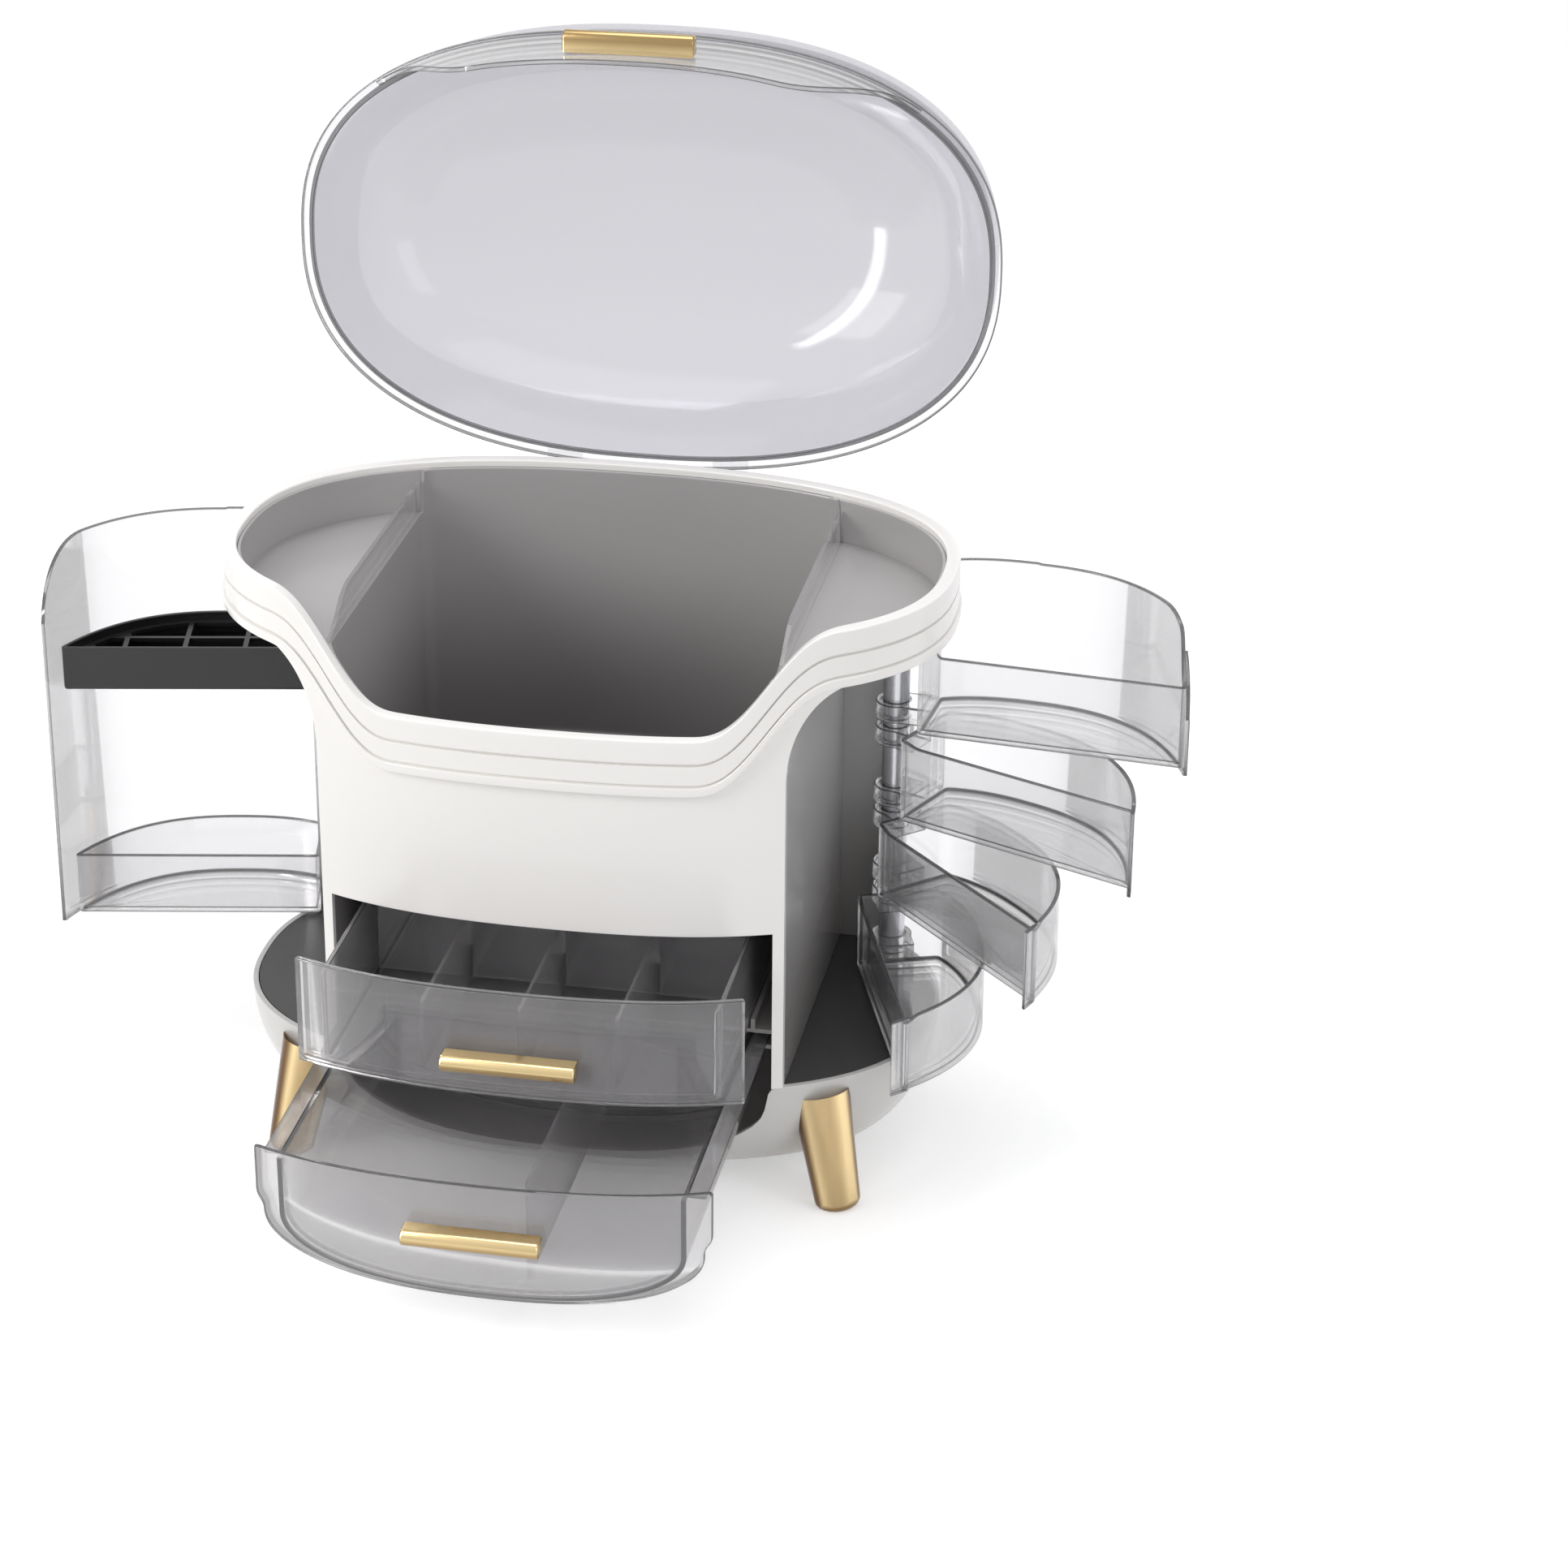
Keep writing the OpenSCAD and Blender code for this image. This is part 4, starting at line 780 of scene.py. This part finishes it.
# Painted light and shade on the handle bars: light on the top flat and the nose's upper half, with a painted highlight
# line above its front, darker down its lower half, and a painted gradient along the underside that lightens towards the
# back.
nose_painted_shading = 0.2 + 0.55 * ease((nose_angles - 150) / 60) - 0.2 * np.exp(-(((nose_angles - 130) / 14) ** 2))
bar_painted_shading = np.concatenate([nose_painted_shading, [0.0, 0.5, 0.7, 0.5, 0.3]])[None]
handle_gold = gold("handle_gold", (0.80, 0.63, 0.34), 0.2, streak_axis=0, deep=(0.23, 0.14, 0.05))
UPPER_OPEN, LOWER_OPEN = 66.0, 140.0
for name, grid, body, node in (
    ("lid_handle_gold", opened(bar(-RIM_B + 0.8, 254.0)), "lid", "lid_handle"),
    ("upper_handle_gold", bar(-BODY_B - FIT - UPPER_OPEN, 104.75), "upper_drawer", "upper_drawer_handle"),
    ("lower_handle_gold", bar(-BODY_B - FIT - LOWER_OPEN, 57.0), "lower_drawer", "lower_drawer_handle"),
):
    add_piece(name, (body, node, "gold", handle_gold), grid, bar_painted_shading, (grid[0].mean(0), grid[-1].mean(0)))

# Upper drawer: a smoke-clear front bowed to the body's oval, with a straight open box behind it that has three long
# dividers and one across.
# The third tone is the painted dark rim line.
smoke_tones = (0.925, 0.92, 0.925), (0.68, 0.67, 0.68), (0.04, 0.04, 0.042)
smoke_clear = clear_plastic("smoke_clear", *smoke_tones, 0.1, 0.78, 0.1)
BOX_HALF, BOX_BACK, DRAWER_WALL = 93.5, 84.0, 2.2
UPPER_LOW, UPPER_HIGH, FRONT_SILL, BOX_TALL = 86.1, 139.4, 4.6, 46.3
upper_home = "upper_drawer", "upper_drawer_box", "clear_smoke", smoke_clear


def pulled(run):
    """A move of a drawer's points to the front by a run."""
    return lambda points: points + (0, -run, 0)


unit = oval_part(BODY_A, BODY_B, -POST_INSIDE, POST_INSIDE, -1, 120)
grid, edge = swept(oval_ring(unit, BODY_A, BODY_B), box_section(2.8, 0.5, 0.5), UPPER_LOW, UPPER_HIGH)
add_piece("upper_front_smoke", upper_home, grid, edge, move=pulled(UPPER_OPEN))

box_a, box_b = BODY_A - 2.9, BODY_B - 2.9
front_line = oval_points(box_a, box_b, -BOX_HALF, BOX_HALF, -1, 50)
corners = np.concatenate([front_line, [[BOX_HALF, BOX_BACK], [-BOX_HALF, BOX_BACK]]])
radii = np.zeros(len(corners))
radii[-2:] = 5.0
radii[[0, 49]] = 3.5
path = rounded_path(corners, radii, 1.5)
at_front = path[:, 1] < -oval_depth(path[:, 0], box_a, box_b) + 0.4
high = np.where(at_front, UPPER_LOW + FRONT_SILL, UPPER_LOW + BOX_TALL)
grid, edge, poles = vessel(offset_ring(path), UPPER_LOW, high, DRAWER_WALL, DRAWER_WALL, 2.8, 0.4, near=0.4)
add_piece("upper_box_smoke", upper_home, grid, edge, poles, move=pulled(UPPER_OPEN))
drawer_dividers = ("upper_drawer_long_dividers", "upper_drawer_cross_divider", "lower_drawer_divider")
finish_nodes(drawer_dividers, smoke_clear)

# Lower drawer: its front carries on the bowl's own curve inside the rounded mouth; the tray behind it has the same
# rounded bottom, two side flanges and one long divider.
LOWER_TOP, TRAY_LOW = 82.5, 17.5
lower_home = "lower_drawer", "lower_drawer_box", "clear_smoke", smoke_clear


def disc(outline, middle, near, far, rings=16):
    """A thick sheet with a given outline in X and Z about a middle point: one face at y = near(x, z), the other at
    y = far(x, z), joined round the edge."""
    spread = np.sin(np.linspace(0.06, 1, rings) * np.pi / 2)
    spread = spread / spread[-1]
    flat = (outline - middle) * spread[:, None, None] + middle
    rim = flat[-1]
    inward = 0.5 / np.linalg.norm(outline - middle, axis=1, keepdims=True)
    drawn = rim - (rim - middle) * inward
    faces = [(np.concatenate([flat[:-1], drawn[None]]), near), (np.concatenate([drawn[None], flat[:-1][::-1]]), far)]
    sheets = [np.stack([f[..., 0], depth(f[..., 0], f[..., 1]), f[..., 1]], -1) for f, depth in faces]
    a, b = near(rim[:, 0], rim[:, 1]), far(rim[:, 0], rim[:, 1])
    lips = [np.column_stack([rim[:, 0], a + (b - a) * s, rim[:, 1]]) for s in (0.2, 0.8)]
    grid = np.concatenate([sheets[0], np.stack(lips), sheets[1]])
    weights = np.concatenate([np.zeros(rings - 1), np.ones(4), np.zeros(rings - 1)])[:, None]
    poles = [(middle[0], float(d(*[np.array(v) for v in middle])), middle[1]) for d in (near, far)]
    return grid, weights, poles


def bowl_y(wall):
    """The bowl's front at (x, z): its oval there, drawn in by the quarter ellipse and by a wall."""
    def depth(x, z):
        """Where the drawn-in oval's front lies at (x, z)."""
        inset = np.where(z < BOWL_H, bowl_inset(z, 0.0), 0.0) + wall
        return -oval_depth(x, BODY_A - inset, BODY_B - inset)
    return depth


q = np.radians(np.linspace(180, 360, 121))
across, down = power(np.cos(q), 2 / MOUTH_POWER), power(np.sin(q), 2 / MOUTH_POWER)
rounded = np.column_stack([MOUTH_HALF * across, MOUTH_START + (MOUTH_START - MOUTH_LOW) * down])
wing = np.array([[MOUTH_HALF, MOUTH_START + 3], [POST_INSIDE, BOWL_H], [POST_INSIDE, LOWER_TOP]])
corners = np.concatenate([rounded, wing, wing[::-1] * (-1, 1)])
radii = np.concatenate([np.zeros(121), [2.0, 2.0, 1.5, 1.5, 2.0, 2.0]])
outline = rounded_path(corners, radii, 1.5)
grid, edge, poles = disc(outline, np.array([0, 55.0]), bowl_y(0.0), bowl_y(DRAWER_WALL))
add_piece("lower_front_smoke", lower_home, grid, edge, poles, move=pulled(LOWER_OPEN))


def trough(inset):
    """The tray's section in X and Z, drawn in by an inset: upright sides and a bottom rounded as the mouth is."""
    half, deep = BOX_HALF - inset, MOUTH_START - TRAY_LOW - inset
    curve = np.column_stack([half * across, MOUTH_START + deep * down])
    top = LOWER_TOP - 4
    return np.concatenate([[[-half, top], [-half, top - 0.9]], curve, [[half, top - 0.9], [half, top]]])


along = np.concatenate([[0, 0.005], np.linspace(0.05, 1, 12)])[:, None]
shells = []
for inset in (0.0, DRAWER_WALL):
    line = trough(inset)
    start = bowl_y(DRAWER_WALL - 0.6)(line[:, 0], line[:, 1])
    y = start + (BOX_BACK - inset - start) * along
    shells.append(np.stack([np.broadcast_to(line[:, 0], y.shape), y, np.broadcast_to(line[:, 1], y.shape)], -1))
grid = np.concatenate([shells[0], shells[1][::-1]])
edge = np.zeros(grid.shape[:2])
edge[[0, -1]] = 1
edge[:, [0, -1]] = 1
add_piece("lower_tray_smoke", lower_home, grid, edge, move=pulled(LOWER_OPEN))
flange_start = 7.2 - float(oval_depth(np.array(BOX_HALF), BODY_A, BODY_B))
for word, near_x, far_x in (("left", -BOX_HALF - 8, -BOX_HALF + 0.8), ("right", BOX_HALF - 0.8, BOX_HALF + 8)):
    strip = [[near_x, flange_start], [far_x, flange_start], [far_x, BOX_BACK], [near_x, BOX_BACK]]
    grid, edge, poles = slab(rounded_path(strip, [1, 1, 1, 1]), LOWER_TOP - 5.4, LOWER_TOP - 4, 0.3)
    add_piece("lower_flange_" + word, lower_home, grid, edge, poles, move=pulled(LOWER_OPEN))
# The back wall's outline leaves out the upper right corner, so its upper edge slopes down to the right.
back_section = trough(DRAWER_WALL)[:-2]
back_line = rounded_path(back_section, np.zeros(len(back_section)), 1.5)


def flat_at(y):
    """The same y for every (x, z)."""
    return lambda x, z: np.full_like(x, y)


grid, edge, poles = disc(back_line, np.array([0, 52.0]), flat_at(BOX_BACK - DRAWER_WALL), flat_at(BOX_BACK), 8)
add_piece("lower_back_smoke", lower_home, grid, edge, poles, move=pulled(LOWER_OPEN))

# Bins: clear quarter-round boxes that hug the body's right end, one above the other, each hung on the post by
# knuckles. The top one's front corner follows the window's curve, and each outer wall runs on past the end wall as a
# grip.
BIN_SIDE, GRIP, BIN_BACK, CLEAR_WALL, BIN_TOP = 111.7, 6.0, 46.0348, 2.0, 261.4
BIN_INSIDE, PAN_MIDDLE = BIN_SIDE + GRIP, (140, 0)
KNUCKLE_R, KNUCKLE_H, POST_R = 10.1, 9.0, 6.5
# The third tone is the painted dark rim line.
bin_tones = (0.968, 0.966, 0.97), (0.74, 0.73, 0.74), (0.05, 0.05, 0.052)
bin_clear = clear_plastic("bin_clear", *bin_tones, 0.06, 0.8)


def angle_at_y(y, b):
    """The oval's parameter in degrees where it crosses y on its right-hand side."""
    return np.degrees(np.arcsin(power(y / b, PLAN / 2)))


def bin_path(inset):
    """A bin's plan: round the outside of the oval from its front end to its back wall, then straight in and forward."""
    a, b = BODY_A - inset, BODY_B - inset
    x, y = BIN_INSIDE + inset, BIN_BACK - inset
    start, stop = angle_at_x(x, a), angle_at_y(y, b)
    arc = oval_path(a, b, 70, start, stop)
    corners = np.concatenate([arc, [[x, y]]])
    radii = np.zeros(len(corners))
    radii[[0, 69, 70]] = 3.0
    return rounded_path(corners, radii, 1.5)


def swung(side, angle):
    """A move of a closed right-hand bin's points: turned out about the post, and mirrored for the left (side -1)."""
    a = np.radians(angle)

    def move(points):
        """The turn in the plan, then the mirror."""
        x, y = points[..., 0] - PIVOT_X, points[..., 1] - PIVOT_Y
        across, back = np.cos(a) * x - np.sin(a) * y + PIVOT_X, np.sin(a) * x + np.cos(a) * y + PIVOT_Y
        return np.stack([side * across, back, points[..., 2]], -1)

    return move


def under_window(x):
    """Upper edge of a bin or of the door under the window's curve, clear of it upwards and sideways."""
    return window_top(np.abs(x) - 0.8) - GAP


def cut_square(ring, x):
    """A ring function whose points are kept beyond a plane at x, so that the wall ends square to the front."""
    return lambda inset: np.maximum(ring(inset), (x, -np.inf))


def knuckle(low):
    """A ring round the post whose outline runs forward as a straight arm to the wall: the arm's reach is the nearer
    of the wall's plane and of its own two sides."""
    t = np.radians(np.arange(120) * 3.0)
    to_wall = (PIVOT_Y - BIN_BACK) / np.maximum(-np.sin(t), 1e-6)
    arm = np.minimum(to_wall, (KNUCKLE_R - 1) / np.maximum(np.abs(np.cos(t)), 1e-6))
    reach = np.where(np.sin(t) < 0, np.maximum(arm, KNUCKLE_R), KNUCKLE_R)

    def ring(inset):
        """The outside at small insets, and the bore round the post at the wall's full thickness."""
        radius = reach - inset if inset < 1.5 else POST_R + 0.3 + 3.0 - inset
        return np.column_stack([PIVOT_X + radius * np.cos(t), PIVOT_Y + radius * np.sin(t)])

    return swept(ring, box_section(3.0, 0.4, 0.5), low, low + KNUCKLE_H)


def bin_pieces(name, low, high, wall_top, angle, body):
    """One bin: its box with a low inner wall, the grip strip and two knuckles, swung out to its angle."""
    home, out = (body, name, "clear_door", bin_clear), swung(1, angle)
    path = bin_path(0)
    outer = np.minimum(high, under_window(path[:, 0])) if high == BIN_TOP else high
    outer = np.where(path[:, 1] < 0, outer, high)
    inner_wall = 1 - ease((path[:, 0] - BIN_INSIDE - 0.5) / 9)
    inner_wall = np.where(path[:, 1] > BIN_BACK - 12, inner_wall * ease((BIN_BACK - path[:, 1]) / 12), inner_wall)
    top = outer + (np.minimum(wall_top, outer) - outer) * inner_wall
    grid, edge, poles = vessel(offset_ring(path), low, top, CLEAR_WALL, CLEAR_WALL, 2.3, 0.35, PAN_MIDDLE, near=0.7)
    add_piece(name + "_box", home, grid, edge, poles, move=out)
    unit = oval_part(BODY_A, BODY_B, BIN_SIDE, BIN_INSIDE + 3, -1, 12)
    tall = np.minimum(high, under_window(unit[:, 0] * (BODY_A - CLEAR_WALL)))
    grip_ring = cut_square(oval_ring(unit, BODY_A, BODY_B), BIN_SIDE)
    grid, edge = swept(grip_ring, box_section(CLEAR_WALL, 0.35, 0.55), low, tall)
    add_piece(name + "_grip", home, grid, edge, move=out)
    for k, z in enumerate((low, min(high, wall_top) - KNUCKLE_H)):
        grid, edge = knuckle(z)
        add_piece(f"{name}_knuckle_{k + 1}", home, grid, edge, ring=True, move=out)


for name, low, high, wall_top, angle, body in (
    ("bin_1", 186.0, BIN_TOP, 228.0, 84.0, "top_bin"),
    ("bin_2", 141.0, 184.4, 182.0, 66.0, "second_bin"),
    ("bin_3", 99.0, 139.4, 137.0, 43.0, "third_bin"),
    ("bin_4", 58.6, 97.4, 95.0, 19.0, "lowest_bin"),
):
    bin_pieces(name, low, high, wall_top, angle, body)

# Left door: a tall clear outer wall with its back wall, hung by four knuckles, with a dark shelf pan, a black rack for
# lipsticks over it and a clear tray at its foot.
DOOR_OPEN, DOOR_Z, SHELF_Z, DOOR_BEND = 79.0, 58.6, 183.0, 3.0
door_home, door_swing = ("left_door", "door_shell", "clear_door", bin_clear), swung(-1, DOOR_OPEN)
arc = oval_path(BODY_A, BODY_B, 110, angle_at_x(BIN_SIDE, BODY_A), angle_at_y(BIN_BACK, BODY_B))
bend = arc[-1]
u = np.linspace(0, 1, 8)[:, None]
along_arc = arc[-2] - bend
first, last = bend + along_arc / np.linalg.norm(along_arc) * DOOR_BEND, bend + np.array([-DOOR_BEND, 0])
arc = arc[np.linalg.norm(arc - bend, axis=1) > DOOR_BEND + 0.2]
line = np.column_stack([np.linspace(bend[0] - 4, BIN_INSIDE, 24), np.full(24, BIN_BACK)])
corner = (1 - u) ** 2 * first + 2 * u * (1 - u) * bend + u**2 * last
door_path = np.concatenate([arc, corner, line])
top = np.where(door_path[:, 1] < 0, np.minimum(BIN_TOP, under_window(door_path[:, 0])), BIN_TOP)
door_ring = cut_square(offset_ring(door_path, False), BIN_SIDE)
grid, edge = swept(door_ring, box_section(CLEAR_WALL, 0.35, 0.6), DOOR_Z, top)
add_piece("door_wall_clear", door_home, grid, edge, move=door_swing)
for k, z in enumerate((DOOR_Z, (DOOR_Z + SHELF_Z) / 2, SHELF_Z, BIN_TOP - KNUCKLE_H)):
    grid, edge = knuckle(z)
    add_piece(f"door_knuckle_{k + 1}", door_home, grid, edge, ring=True, move=door_swing)

rack_black = plastic("rack_black", (0.012, 0.012, 0.013), 0.3, mottle=0.1)
pan_ring = offset_ring(bin_path(2.2))
for name, node, low, tall, material, slot in (
    ("door_shelf_pan", "door_shelf", SHELF_Z, 23.0, rack_black, "black"),
    ("door_tray_pan", "door_tray", DOOR_Z, 33.0, bin_clear, "clear_door"),
):
    grid, edge, poles = vessel(pan_ring, low, low + tall, CLEAR_WALL, CLEAR_WALL, 2.3, 0.35, PAN_MIDDLE, near=0.7)
    add_piece(name, ("left_door", node, slot, material), grid, edge, poles, move=door_swing)
finish_nodes(("lipstick_rack",), rack_black)
